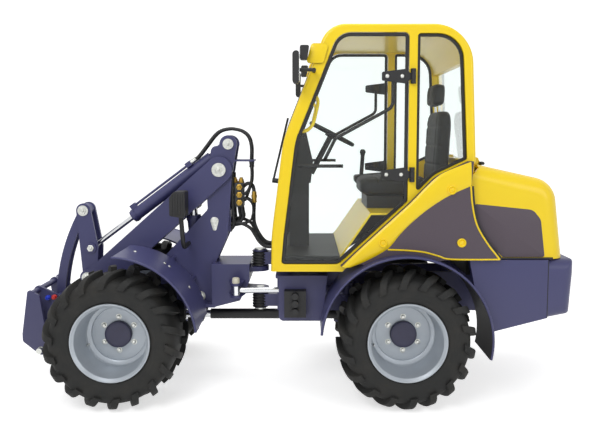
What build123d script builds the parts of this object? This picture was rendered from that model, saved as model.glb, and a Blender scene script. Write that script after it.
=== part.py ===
from build123d import *
import math
import os

# Compact articulated wheel loader with a glazed cab and a tool coupler, in millimetres.
# While a piece is drawn, X runs forward from the articulation axis, Y to the machine's left
# and Z up from the axle line. The finished pieces are then set down on the ground.

# Wheels and axles
TYRE_RADIUS = 405
TYRE_WIDTH = 380
WHEEL_SIDES = 36
LUGS_PER_SIDE = 18
LUG_HEIGHT = 26
LUG_WIDTH = 40
LUG_LEAN = 94
RIM_SEAT_RADIUS = 212
RIM_FLANGE_RADIUS = 229
RIM_WIDTH = 336
RIM_FLANGE = 10
RIM_WALL = 9
DISC_THICKNESS = 12
DISC_INSET = 30
HUB_RADIUS = 79
HUB_DEPTH = 34
STUB_RADIUS = 42
STUB_LENGTH = 60
TRACK = 920
FRONT_REACH = 815
REAR_REACH = 878
AXLE_TUBE_RADIUS = 52
AXLE_FLANGE_RADIUS = 84
AXLE_FLANGE = 30
DIFF_RADIUS = 76
DIFF_LENGTH = 150
PAD_Y = 95
PAD_WIDTH = 50
PAD_LENGTH = 130

# Articulation and drive line
PIVOT_PIN_RADIUS = 25
PIVOT_EYE_RADIUS = 56
TONGUE = 30
TONGUE_UPPER = 295
TONGUE_LOWER = 155
PIVOT_BOSS_RADIUS = 46
PIVOT_BOSS_HEIGHT = 104
PIVOT_ARM_HALF = 40
CARDAN_REACH = 521
CARDAN_EYE_RADIUS = 36
CARDAN_EYE_HALF = 34
CARDAN_FORK = 12
CARDAN_PIN_RADIUS = 13
NOSE_RADIUS = 44
SHAFT_TUBE_RADIUS = 33
SHAFT_CORE_RADIUS = 24
SHAFT_TUBE_END = 330
SHAFT_CORE_END = -60
SHAFT_SLIP = 90

# Front frame
TOWER_HALF = 85
PLATE = 20
BLOCK_REAR = 60
BLOCK_FRONT = 300
BLOCK_HALF = 150
BLOCK_TOP = 361
FRAME_UNDERSIDE = 80
FRAME_NOSE = 885
BOOM_PIVOT_X = 253
BOOM_PIVOT_Z = 960
TILT_BASE_X = 195
TILT_BASE_Z = 1123
TILT_LOBE = 56
LIFT_BASE_X = 385
LIFT_BASE_Z = 140
FENDER_RADIUS = 486
FENDER_SHEET = 8
FRONT_FENDER_INNER = 205
REAR_FENDER_INNER = 274
FENDER_OUTER = 606
FENDER_BAR_RADIUS = 14
LAMP_POST_RADIUS = 14
LAMP_POST_BEND = 45
LAMP_POST_X = 455
LAMP_POST_Z = 485
LAMP_Y = 260
LAMP_HALF = 60
LAMP_REAR = 433
LAMP_FRONT = 528
LAMP_LOW = 675
LAMP_HIGH = 838

# Boom and tool linkage
BOOM_DROP = 41.7
BOOM_DEPTH = 167
BOOM_INNER = 91
BOOM_PLATE = 21
BOOM_BOX_START = 345
BELLY_START = 430
BOOM_BOX_END = 985
BOOM_WEB = 15
BOX_TOP = 2
BOOM_EYE_RADIUS = 80
MAIN_PIN_RADIUS = 30
LINK_PIN_RADIUS = 22
PIN_HEAD_RADIUS = 34
PIN_HEAD = 10
LIFT_EYE_X = 447
LIFT_EYE_Z = 787
LEVER_PIVOT_X = 1105
LEVER_PIVOT_Z = 268
LEVER_TOP_X = 1139
LEVER_TOP_Z = 694
LEVER_ROD_X = 1095
LEVER_ROD_Z = 449
LEVER_INNER = 40
LEVER_PLATE = 18
LEVER_LOBE = 46
LINK_PLATE = 12
LINK_DEPTH = 56
LINK_TOP_LOBE = 40
LINK_LOW_LOBE = 36
LINK_BELLY_X = 1258
LINK_BELLY_Z = 420
LINK_LOW_X = 1305
LINK_LOW_Z = 130
TOOL_PIVOT_X = 1270
TOOL_PIVOT_Z = -130
CARRIER_HALF = 245
CARRIER_PLATE = 20
CHEEK_INNER = 118
TOP_RAIL_X = 1414
TOP_RAIL_Z = 192
TOP_RAIL_RADIUS = 18
LOW_RAIL_X = 1350
LOW_RAIL_Z = -140
LOCK_X = 1366
LOCK_Z = -164
LOCK_RADIUS = 20
LOCK_TIP_RADIUS = 18
LOCK_REACH = 30
CARRIER_FRONT = 1477

# Cylinders
TILT_BARREL_RADIUS = 40
TILT_ROD_RADIUS = 17
TILT_EYE_HALF = 22
TILT_NECK_RADIUS = 28
TILT_BARREL_START = 149
TILT_BARREL_END = 795
TILT_ROD_INSIDE = 300
LIFT_BARREL_RADIUS = 45
LIFT_ROD_RADIUS = 24
LIFT_BARREL_END = 520
LIFT_ROD_INSIDE = 425
STEER_BASE_X = -560
STEER_BASE_Y = 205
STEER_EYE_X = 138
STEER_EYE_Y = 230
STEER_Z = 214
STEER_BARREL_RADIUS = 30
STEER_ROD_RADIUS = 16
STEER_BARREL_END = 430
STEER_ROD_INSIDE = 200
EYE_RADIUS = 33
EYE_HALF = 28
BARREL_WALL = 7
GLAND = 30
EAR = 15
PORT_RUN = 270
PORT_LENGTH = 40
PORT_RISE = 53
PORT_HALF = 40
PIPE_RADIUS = 8
PIPE_END = 770

# Hoses
HOSE_RADIUS = 11
HOSE_BEND = 110
HOSE_Y = 24
HOSE_LEAD = 60
HOSE_ARCH_X = 255
HOSE_ARCH_TOP = 1218
HOSE_FOOT_X = 52
HOSE_BRACKET_TOP = 1022
HOSE_PLATE_X = 186
HOSE_PLATE_LOW = 560
HOSE_PLATE_HIGH = 700
CROSS_BEND = 70
CROSS_FRONT_X = 80
CROSS_REAR_X = -20
CROSS_HOSES = ((46, 610), (-46, 630))

# Rear frame, engine bay and counterweight
RAIL_INNER = 120
RAIL_PLATE = 20
RAIL_LOW = 60
RAIL_HIGH = 311
DECK = 20
RAIL_FRONT = -300
CROSS_MEMBER = -1240
MOUNT_FRONT = -180
MOUNT_REAR = -400
MOUNT_Y = 230
DECK_REAR = -430
SIDE_INNER = 335
SIDE_PLATE = 18
BULKHEAD_FRONT = -115
BULKHEAD_HALF = 95
MOUNT_RADIUS = 30
VALVE_GAP = 84
VALVE_LENGTH = 130
VALVE_DEPTH = 60
CHEEK_MARGIN = 35
TAIL_SPLIT = -1709
TAIL_FACE = -1866
TAIL_END = -1882
TAIL_RAKE = 16
TAIL_HALF = 500
TAIL_TOP = 456
TAIL_BOTTOM = 102
TAIL_FOOT = 130
TAIL_LAMP_LOW = 150
TAIL_LAMP_HIGH = 215
TAIL_LAMP_DEPTH = 12
TAIL_LAMP_INNER = 350
TAIL_LAMP_OUTER = 425
SKIRT = 50
SKIRT_TOP_RUN = 372
SKIRT_FOOT_RUN = 462
HITCH_X = -1836
HITCH_BORE = 16
HITCH_HALF = 70
HITCH_LOW = 299
HITCH_HIGH = 374
HITCH_DEPTH = 95
ENGINE_REAR = -1650
ENGINE_FRONT = -1300
ENGINE_HALF = 230
ENGINE_TOP = 770
HOOD_HALF = 478
HOOD_SHEET = 20
HOOD_EDGE = 90
HOOD_HINGE_X = -1322
HOOD_HINGE_Z = 1034
HOOD_HINGE_Y = 300
HOOD_PIN_RADIUS = 9

# Cab
CAB_HALF = 490
CAB_SIDE = 45
CAB_EDGE = 18
CAB_UNDERSIDE = 386
CAB_ROOF = 1809
ROOF_DEPTH = 48
ROOF_FRONT_LOW = 1700
ROOF_REAR_LOW = 1600
GLASS = 8
GLASS_INSET = 12
SCREEN_FOOT = (-101, 609)
SCREEN_KNEE = (-168, 1150)
WIPER_Z = 880
WIPER_STAND = 66
WIPER_KNOB_RADIUS = 16
WIPER_RADIUS = 7
WIPER_TIP = (-184, 0, 1290)
FLOOR_TOP = 470
FLOOR_SHEET = 30
FLOOR_REAR = -500
SEAT_DECK = 725
SEAT_SHEET = 12
WAIST = 1034
REAR_WALL = 40
REAR_WALL_OUTER = -1279
DOOR_AXIS_X = -908
DOOR_AXIS_Y = 508
DOOR_MARGIN = 6
DOOR_PIN_RADIUS = 7
HINGE_HEIGHTS = (953, 1512)
DOOR_BAR_RADIUS = 10
LATCH_FRONT = -255
LATCH_REAR = -515
LATCH_Z = 1000
PULL_POINTS = ((-410, 1040), (-470, 1160), (-800, 1340), (-800, 1490))
PULL_BEND = 50
COWL_OUTER = 532
SEAT_FRONT = -627
SEAT_REAR = -1090
SEAT_HALF = 240
WHEEL_GRIP_RADIUS = 150
COLUMN_TOP = (-456, 0, 1164)
COLUMN_FOOT = (-335, 0, 932)

# Clearances
FIT = 0.5
SEAT = 0.3
RUN = 2
SEAM = 12

DISC_FACE = TRACK / 2 - DISC_INSET
CENTRE_X = (CARRIER_FRONT + TAIL_END) / 2
ON_GROUND = Pos(-CENTRE_X, 0, TYRE_RADIUS)
CAB_INNER = CAB_HALF - CAB_SIDE
DECK_TOP = RAIL_HIGH + DECK
FENDER_EDGE = -REAR_REACH + FENDER_RADIUS + FENDER_SHEET
VALVE_REAR = FENDER_EDGE + VALVE_GAP
CHEEK_FRONT = VALVE_REAR + VALVE_LENGTH + CHEEK_MARGIN
LINK_OUTER = LEVER_INNER - SEAT
FLOOR_FRONT = -98


def profile(*corners):
    """A closed outline from corner points, where a third number rounds that corner."""
    face = make_face(Polyline(*[corner[:2] for corner in corners], close=True))
    for corner in corners:
        if len(corner) == 3:
            vertex = face.vertices().sort_by_distance(Vector(corner[0], corner[1]))[0]
            face = fillet(vertex, corner[2])
    return face


def disc(x, z, radius):
    """A round outline at a point."""
    return Pos(x, z) * Circle(radius)


def hull(*discs):
    """The outline of a strap stretched round several discs."""
    edges = ShapeList()
    for round_face in discs:
        edges += round_face.edges()
    return make_hull(edges)


def slab(face, low, high):
    """An outline in X and Z made solid between two Y planes."""
    return extrude(Plane.XZ.offset(-high) * face, high - low)


def level(face, low, high):
    """An outline in X and Y made solid between two heights."""
    return extrude(Pos(0, 0, low) * face, high - low)


def cross_pin(x, z, radius, low, high):
    """A round bar along Y."""
    return slab(disc(x, z, radius), low, high)


def upright(x, y, radius, low, high):
    """A round bar along Z."""
    return level(Pos(x, y) * Circle(radius), low, high)


def box(x_low, x_high, y_low, y_high, z_low, z_high):
    """A block between six planes."""
    centre = Pos((x_low + x_high) / 2, (y_low + y_high) / 2, (z_low + z_high) / 2)
    return centre * Box(x_high - x_low, y_high - y_low, z_high - z_low)


def bar(start, end, radius):
    """A round bar between two points."""
    start = Vector(*start)
    run = Vector(*end) - start
    frame = Plane(origin=start, z_dir=run.normalized())
    return frame * Cylinder(radius, run.length, align=(Align.CENTER, Align.CENTER, Align.MIN))


def pair(solid):
    """A left-hand solid and its mirror image on the right."""
    return Part() + [solid, mirror(solid, about=Plane.XZ)]


def bent_tube(points, bend, radius):
    """A round tube along straight runs with equal bends."""
    path = FilletPolyline(*points, radius=bend)
    section = Plane(origin=path @ 0, z_dir=path % 0) * Circle(radius)
    return sweep(section, path=path)


def along_boom(run, rise):
    """A point on the boom: run along its centre line from the pivot, rise above that line."""
    drop = math.radians(BOOM_DROP)
    x = BOOM_PIVOT_X + run * math.cos(drop) + rise * math.sin(drop)
    z = BOOM_PIVOT_Z - run * math.sin(drop) + rise * math.cos(drop)
    return (x, z)


def pin_with_heads(x, z, half):
    """A link pin along Y with a washer head on each end."""
    pin = cross_pin(x, z, LINK_PIN_RADIUS, -half - PIN_HEAD, half + PIN_HEAD)
    pin += cross_pin(x, z, PIN_HEAD_RADIUS, half, half + PIN_HEAD)
    return pin + cross_pin(x, z, PIN_HEAD_RADIUS, -half - PIN_HEAD, -half)


def tyre():
    """A wide traction tyre about Y: a faceted casing with two rows of slanting lugs."""
    half = TYRE_WIDTH / 2
    bead = RIM_WIDTH / 2 - RIM_FLANGE - RUN
    crown = TYRE_RADIUS - LUG_HEIGHT
    shoulder = crown - 8
    wall = crown - RIM_FLANGE_RADIUS
    steps = [
        (bead, RIM_FLANGE_RADIUS + RUN),
        (half - 5, RIM_FLANGE_RADIUS + 0.35 * wall),
        (half - 4, RIM_FLANGE_RADIUS + 0.65 * wall),
        (0.8 * half, shoulder),
        (0.2 * half, crown),
    ]
    mirrored_steps = [(-place, radius) for place, radius in steps]
    sections = []
    for place, radius in mirrored_steps + steps[::-1]:
        sections.append(Plane.XZ.offset(-place) * RegularPolygon(radius, WHEEL_SIDES))
    casing = loft(sections, ruled=True)
    casing -= slab(RegularPolygon(RIM_SEAT_RADIUS + SEAT, WHEEL_SIDES), -half, half)
    tip = math.sqrt(TYRE_RADIUS**2 - (LUG_LEAN / 2 + LUG_WIDTH / 2) ** 2)
    side_tip = tip - 0.4 * LUG_HEIGHT
    root = shoulder - 2 * LUG_HEIGHT
    middle_frame = Plane.XZ.offset(-4) * Pos(-LUG_LEAN / 2, (tip + root) / 2)
    outer_frame = Plane.XZ.offset(-half) * Pos(LUG_LEAN / 2, (side_tip + root) / 2)
    middle_end = middle_frame * Rectangle(LUG_WIDTH, tip - root)
    outer_end = outer_frame * Rectangle(LUG_WIDTH, side_tip - root)
    lug = loft([middle_end, outer_end], ruled=True)
    other_lug = mirror(lug, about=Plane.XZ)
    pitch = 360 / LUGS_PER_SIDE
    lugs = []
    for place in range(LUGS_PER_SIDE):
        lugs.append(Rot(0, place * pitch, 0) * lug)
        lugs.append(Rot(0, (place + 0.5) * pitch, 0) * other_lug)
    return casing + lugs


def rim():
    """A deep-dished wheel about Y with its disc and hub, open towards +Y."""
    half = RIM_WIDTH / 2
    disc_back = -DISC_INSET - DISC_THICKNESS
    wheel = slab(RegularPolygon(RIM_SEAT_RADIUS, WHEEL_SIDES), -half, half)
    for low in (-half, half - RIM_FLANGE):
        wheel += slab(RegularPolygon(RIM_FLANGE_RADIUS, WHEEL_SIDES), low, low + RIM_FLANGE)
    hollow = RegularPolygon(RIM_SEAT_RADIUS - RIM_WALL, WHEEL_SIDES)
    wheel -= slab(hollow, -DISC_INSET, half)
    wheel -= slab(hollow, -half, disc_back)
    wheel += cross_pin(0, 0, HUB_RADIUS, disc_back - STUB_LENGTH, HUB_DEPTH - DISC_INSET)
    return wheel - cross_pin(0, 0, STUB_RADIUS + FIT, disc_back - STUB_LENGTH, disc_back)


def axle(x, way, frame_low):
    """A drive axle at x, its input fork towards the articulation and its pads under the frame."""
    hub_back = DISC_FACE - DISC_THICKNESS - STUB_LENGTH
    reach = CARDAN_REACH * -way
    body = cross_pin(x, 0, AXLE_TUBE_RADIUS, -hub_back + RUN, hub_back - RUN)
    body += cross_pin(x, 0, STUB_RADIUS, -hub_back - STUB_LENGTH + RUN, hub_back + STUB_LENGTH - RUN)
    for outer in (hub_back - RUN, -hub_back + RUN + AXLE_FLANGE):
        body += cross_pin(x, 0, AXLE_FLANGE_RADIUS, outer - AXLE_FLANGE, outer)
    body += bar((x - DIFF_LENGTH / 2, 0, 0), (x + DIFF_LENGTH / 2, 0, 0), DIFF_RADIUS)
    fork_root = reach - way * (CARDAN_EYE_RADIUS + 2 * CARDAN_FORK)
    body += bar((x, 0, 0), (fork_root, 0, 0), NOSE_RADIUS)
    tall = CARDAN_EYE_HALF + RUN + CARDAN_FORK
    root = sorted((fork_root, fork_root + way * CARDAN_FORK))
    body += box(*root, -CARDAN_EYE_RADIUS, CARDAN_EYE_RADIUS, -tall, tall)
    blade = sorted((fork_root, reach))
    for low in (-tall, tall - CARDAN_FORK):
        body += box(*blade, -CARDAN_EYE_RADIUS, CARDAN_EYE_RADIUS, low, low + CARDAN_FORK)
        body += upright(reach, 0, CARDAN_EYE_RADIUS, low, low + CARDAN_FORK)
    body += upright(reach, 0, CARDAN_PIN_RADIUS, -tall, tall)
    for low in (-PAD_Y - PAD_WIDTH, PAD_Y):
        body += box(x - PAD_LENGTH / 2, x + PAD_LENGTH / 2, low, low + PAD_WIDTH, 0, frame_low)
    return body


def drive_shaft_rear():
    """The tube half of the telescoping drive shaft, with its eye at the rear joint."""
    shaft = bar((-CARDAN_REACH, 0, 0), (SHAFT_TUBE_END, 0, 0), SHAFT_TUBE_RADIUS)
    shaft += upright(-CARDAN_REACH, 0, CARDAN_EYE_RADIUS, -CARDAN_EYE_HALF, CARDAN_EYE_HALF)
    bore_end = SHAFT_CORE_END - SHAFT_SLIP
    shaft -= bar((bore_end, 0, 0), (SHAFT_TUBE_END, 0, 0), SHAFT_CORE_RADIUS + FIT)
    hole = upright(-CARDAN_REACH, 0, CARDAN_PIN_RADIUS + FIT, -CARDAN_EYE_HALF, CARDAN_EYE_HALF)
    return shaft - hole


def drive_shaft_front():
    """The sliding core of the drive shaft, with its eye at the front joint."""
    shaft = bar((SHAFT_CORE_END, 0, 0), (CARDAN_REACH, 0, 0), SHAFT_CORE_RADIUS)
    shaft += upright(CARDAN_REACH, 0, CARDAN_EYE_RADIUS, -CARDAN_EYE_HALF, CARDAN_EYE_HALF)
    hole = upright(CARDAN_REACH, 0, CARDAN_PIN_RADIUS + FIT, -CARDAN_EYE_HALF, CARDAN_EYE_HALF)
    return shaft - hole


def fender(x, start, end, inner):
    """A curved mudguard sheet over the left wheel at x, between two angles from +X."""
    outer_radius = FENDER_RADIUS + FENDER_SHEET
    ring = Circle(outer_radius) - Circle(FENDER_RADIUS)
    reach = 2 * outer_radius
    wedge = [(0, 0)]
    steps = 4
    for step in range(steps + 1):
        angle = math.radians(start + (end - start) * step / steps)
        wedge.append((reach * math.cos(angle), reach * math.sin(angle)))
    return slab(Pos(x, 0) * (ring & profile(*wedge)), inner, FENDER_OUTER)


def front_fenders():
    """The two front mudguards, from above the axle round to the rear."""
    return pair(fender(FRONT_REACH, 92, 173, FRONT_FENDER_INNER))


def rear_fenders():
    """The two rear mudguards, from under the cab over the wheel to the rear."""
    return pair(fender(-REAR_REACH, 5, 192, REAR_FENDER_INNER))


def front_chassis():
    """The front frame: twin tower plates, rear box with its tongues, floor and fender bars."""
    inner = TOWER_HALF - PLATE
    outline = profile(
        (FRAME_NOSE, FRAME_UNDERSIDE),
        (BLOCK_FRONT - PLATE, FRAME_UNDERSIDE),
        (278, 369),
        (202, 539, 60),
        (173, 919),
        (TILT_BASE_X - TILT_LOBE, TILT_BASE_Z),
        (TILT_BASE_X + TILT_LOBE, TILT_BASE_Z),
        (300, 1080),
        (325, BOOM_PIVOT_Z),
        (335, 800, 60),
        (330, 705, 30),
        (713, 290, 200),
        (850, 140, 60),
        (FRAME_NOSE, 130),
    )
    outline += disc(TILT_BASE_X, TILT_BASE_Z, TILT_LOBE)
    outline += disc(BOOM_PIVOT_X + 16, BOOM_PIVOT_Z + 113, 38)
    outline += disc(BOOM_PIVOT_X, BOOM_PIVOT_Z, BOOM_EYE_RADIUS - 8)
    outline -= disc(BOOM_PIVOT_X, BOOM_PIVOT_Z, MAIN_PIN_RADIUS + FIT)
    outline -= disc(TILT_BASE_X, TILT_BASE_Z, LINK_PIN_RADIUS + FIT)
    outline -= disc(LIFT_BASE_X, LIFT_BASE_Z, LINK_PIN_RADIUS + FIT)
    frame = slab(outline, inner, TOWER_HALF) + slab(outline, -TOWER_HALF, -inner)
    block = profile(
        (BLOCK_REAR, BLOCK_TOP),
        (BLOCK_REAR, 249),
        (121, 126),
        (BLOCK_FRONT, FRAME_UNDERSIDE),
        (BLOCK_FRONT, BLOCK_TOP),
    )
    for low in (-BLOCK_HALF, BLOCK_HALF - PLATE):
        frame += slab(block, low, low + PLATE)
    frame += box(BLOCK_REAR, BLOCK_FRONT, -BLOCK_HALF, BLOCK_HALF, BLOCK_TOP - PLATE, BLOCK_TOP)
    frame += box(BLOCK_REAR, BLOCK_REAR + PLATE, -BLOCK_HALF, BLOCK_HALF, 249, BLOCK_TOP)
    skin = profile((BLOCK_REAR, 249), (121, 126), (121 + PLATE, 126), (BLOCK_REAR + PLATE, 249))
    frame += slab(skin, -BLOCK_HALF, BLOCK_HALF)
    front_wall = (BLOCK_FRONT - PLATE, BLOCK_FRONT)
    frame += box(*front_wall, -BLOCK_HALF, BLOCK_HALF, FRAME_UNDERSIDE, BLOCK_TOP)
    tongue = hull(Circle(PIVOT_EYE_RADIUS), Pos(BLOCK_FRONT - 2 * PIVOT_EYE_RADIUS, 0) * Circle(100))
    tongue &= Pos(BLOCK_FRONT / 2 - PIVOT_EYE_RADIUS, 0) * Rectangle(BLOCK_FRONT, 2 * BLOCK_HALF)
    tongue -= Circle(PIVOT_PIN_RADIUS + FIT)
    for low in (TONGUE_LOWER, TONGUE_UPPER):
        frame += level(tongue, low, low + TONGUE)
    floor = box(BLOCK_FRONT, FRAME_NOSE, -BLOCK_HALF, BLOCK_HALF, FRAME_UNDERSIDE, FRAME_UNDERSIDE + PLATE)
    slot = LIFT_BARREL_RADIUS + 10
    floor -= box(LIFT_BASE_X - slot, LIFT_BASE_X + slot, -inner, inner, 0, LIFT_BASE_Z)
    frame += floor
    bracket_low = HOSE_BRACKET_TOP - PLATE / 2
    bracket_rear = HOSE_FOOT_X - 2 * HOSE_RADIUS
    frame += box(bracket_rear, HOSE_PLATE_X, -TOWER_HALF, TOWER_HALF, bracket_low, HOSE_BRACKET_TOP)
    frame += box(HOSE_PLATE_X, HOSE_PLATE_X + PLATE, -inner, inner, HOSE_PLATE_LOW, HOSE_PLATE_HIGH)
    bar_circle = FENDER_RADIUS - FENDER_BAR_RADIUS - SEAT
    for angle in (124, 146, 168):
        x = FRONT_REACH + bar_circle * math.cos(math.radians(angle))
        z = bar_circle * math.sin(math.radians(angle))
        for low in (inner, -FRONT_FENDER_INNER - 60):
            frame += cross_pin(x, z, FENDER_BAR_RADIUS, low, low + FRONT_FENDER_INNER + 60 - inner)
    ear = hull(
        Pos(STEER_EYE_X, STEER_EYE_Y) * Circle(EYE_RADIUS),
        Pos(STEER_EYE_X, BLOCK_HALF - PLATE / 2) * Circle(EYE_RADIUS + 20),
    )
    ear &= Pos(STEER_EYE_X, BLOCK_HALF + 100) * Rectangle(200, 200)
    ear_gap = EYE_HALF + RUN
    for low in (STEER_Z - ear_gap - EAR, STEER_Z + ear_gap):
        frame += level(ear, low, low + EAR)
    return frame


def front_pins():
    """The pins that carry the boom, the tilt cylinder and the lift cylinder."""
    half = BOOM_INNER + BOOM_PLATE + RUN
    pins = cross_pin(BOOM_PIVOT_X, BOOM_PIVOT_Z, MAIN_PIN_RADIUS, -half, half)
    for low in (-half - PIN_HEAD, half):
        pins += cross_pin(BOOM_PIVOT_X, BOOM_PIVOT_Z, MAIN_PIN_RADIUS + 14, low, low + PIN_HEAD)
    pins = Part() + [
        pins,
        pin_with_heads(TILT_BASE_X, TILT_BASE_Z, TOWER_HALF + SEAT),
        pin_with_heads(LIFT_BASE_X, LIFT_BASE_Z, TOWER_HALF + SEAT),
    ]
    return pins


def front_lamps():
    """Two box headlamps on bent posts that stand out from the tower."""
    bend = [
        (LAMP_POST_X, TOWER_HALF, LAMP_POST_Z),
        (LAMP_POST_X, LAMP_Y, LAMP_POST_Z),
        (LAMP_POST_X + 15, LAMP_Y, LAMP_LOW + 15),
    ]
    post = bent_tube(bend, LAMP_POST_BEND, LAMP_POST_RADIUS)
    side = profile(
        (LAMP_REAR, LAMP_LOW, 12),
        (LAMP_REAR, LAMP_HIGH, 12),
        (LAMP_FRONT - 28, LAMP_HIGH, 20),
        (LAMP_FRONT, LAMP_HIGH - 38, 12),
        (LAMP_FRONT, LAMP_LOW + 15, 12),
    )
    return pair(post + slab(side, LAMP_Y - LAMP_HALF, LAMP_Y + LAMP_HALF))


def boom():
    """The loader boom: twin plates with a drop nose, closed by webs, with the lift lugs."""
    half = BOOM_DEPTH / 2
    outline = profile(
        along_boom(0, half),
        along_boom(1010, half),
        (LEVER_PIVOT_X + 44, LEVER_PIVOT_Z + 12),
        (LEVER_PIVOT_X + 20, 160, 40),
        (1112, 55, 70),
        (TOOL_PIVOT_X - 20, TOOL_PIVOT_Z + 43),
        (TOOL_PIVOT_X - 20, TOOL_PIVOT_Z - 43),
        (1115, -150, 90),
        (1028, 0, 120),
        (1000, 150, 60),
        along_boom(1000, -half),
        along_boom(0, -half),
    )
    outline += disc(BOOM_PIVOT_X, BOOM_PIVOT_Z, BOOM_DEPTH / 2)
    outline += disc(LEVER_PIVOT_X, LEVER_PIVOT_Z, 48)
    outline += disc(TOOL_PIVOT_X, TOOL_PIVOT_Z, 47)
    outline -= disc(BOOM_PIVOT_X, BOOM_PIVOT_Z, MAIN_PIN_RADIUS + FIT)
    outline -= disc(LEVER_PIVOT_X, LEVER_PIVOT_Z, LINK_PIN_RADIUS + FIT)
    outline -= disc(TOOL_PIVOT_X, TOOL_PIVOT_Z, LINK_PIN_RADIUS + FIT)
    arm = slab(outline, BOOM_INNER, BOOM_INNER + BOOM_PLATE)
    arm += slab(outline, -BOOM_INNER - BOOM_PLATE, -BOOM_INNER)
    for start, rise in ((BELLY_START, -half), (BOOM_BOX_START, BOX_TOP)):
        web = profile(
            along_boom(start, rise),
            along_boom(BOOM_BOX_END, rise),
            along_boom(BOOM_BOX_END, rise + BOOM_WEB),
            along_boom(start, rise + BOOM_WEB),
        )
        arm += slab(web, -BOOM_INNER, BOOM_INNER)
    nose_web = profile((1003, 150), (1020, 150), (1056, -10), (1038, -10))
    arm += slab(nose_web, -BOOM_INNER, BOOM_INNER)
    lug = hull(
        disc(LIFT_EYE_X, LIFT_EYE_Z, 40),
        Pos(*along_boom(BOOM_BOX_START + 2 * BOOM_WEB, BOX_TOP + BOOM_WEB / 2)) * Circle(BOOM_WEB),
    )
    for low in (EYE_HALF + RUN, -EYE_HALF - RUN - EAR):
        arm += slab(lug, low, low + EAR)
    return arm


def lever_pin():
    """The two stub pins that carry the tilt lever in the boom and leave room for the link between them."""
    half = BOOM_INNER + BOOM_PLATE + SEAT
    stub = cross_pin(LEVER_PIVOT_X, LEVER_PIVOT_Z, LINK_PIN_RADIUS, LEVER_INNER, half + PIN_HEAD)
    return pair(stub + cross_pin(LEVER_PIVOT_X, LEVER_PIVOT_Z, PIN_HEAD_RADIUS, half, half + PIN_HEAD))


def tilt_lever():
    """The two-plate lever that the tilt cylinder swings."""
    outline = hull(
        disc(LEVER_TOP_X, LEVER_TOP_Z, LEVER_LOBE),
        disc(LEVER_ROD_X, LEVER_ROD_Z, LEVER_LOBE),
        disc(LEVER_PIVOT_X, LEVER_PIVOT_Z, LEVER_LOBE),
    )
    outline -= disc(LEVER_TOP_X, LEVER_TOP_Z, LINK_PIN_RADIUS + FIT)
    collar = disc(LEVER_PIVOT_X, LEVER_PIVOT_Z, LEVER_LOBE - 4)
    bore = disc(LEVER_PIVOT_X, LEVER_PIVOT_Z, LINK_PIN_RADIUS + FIT)
    lever = Part()
    for side in (-1, 1):
        plate = sorted((side * LEVER_INNER, side * (LEVER_INNER + LEVER_PLATE)))
        sleeve = sorted((side * (LEVER_INNER + LEVER_PLATE), side * (BOOM_INNER - SEAT)))
        cap = sorted((side * (LEVER_INNER + LEVER_PLATE), side * (LEVER_INNER + LEVER_PLATE + PIN_HEAD)))
        lever += slab(outline - bore, *plate)
        lever += slab(collar - bore, *sleeve)
        lever += slab(disc(LEVER_ROD_X, LEVER_ROD_Z, PIN_HEAD_RADIUS), *cap)
    web = profile((1064, 300), (1080, 299), (1076, 350), (1060, 351))
    return lever + slab(web, -LEVER_INNER, LEVER_INNER)


def link_pin():
    """The pin that joins the lever to the tilt link."""
    return pin_with_heads(LEVER_TOP_X, LEVER_TOP_Z, LEVER_INNER + LEVER_PLATE + SEAT)


def tilt_link():
    """The bowed link from the lever to the tool carrier: two plates that straddle the tilt rod's eye."""
    centre = ThreePointArc(
        (LEVER_TOP_X, LEVER_TOP_Z),
        (LINK_BELLY_X, LINK_BELLY_Z),
        (LINK_LOW_X, LINK_LOW_Z),
    )
    outline = trace(centre, LINK_DEPTH)
    link = slab(outline, LINK_OUTER - LINK_PLATE, LINK_OUTER)
    link += slab(outline, -LINK_OUTER, LINK_PLATE - LINK_OUTER)
    link += cross_pin(LEVER_TOP_X, LEVER_TOP_Z, LINK_TOP_LOBE, -LINK_OUTER, LINK_OUTER)
    link += cross_pin(LINK_LOW_X, LINK_LOW_Z, LINK_LOW_LOBE, -LINK_OUTER, LINK_OUTER)
    return link - cross_pin(LEVER_TOP_X, LEVER_TOP_Z, LINK_PIN_RADIUS + FIT, -LINK_OUTER, LINK_OUTER)


def tool_pin():
    """The pin that carries the tool carrier in the boom nose."""
    return pin_with_heads(TOOL_PIVOT_X, TOOL_PIVOT_Z, CHEEK_INNER + CARRIER_PLATE + SEAT)


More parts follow.
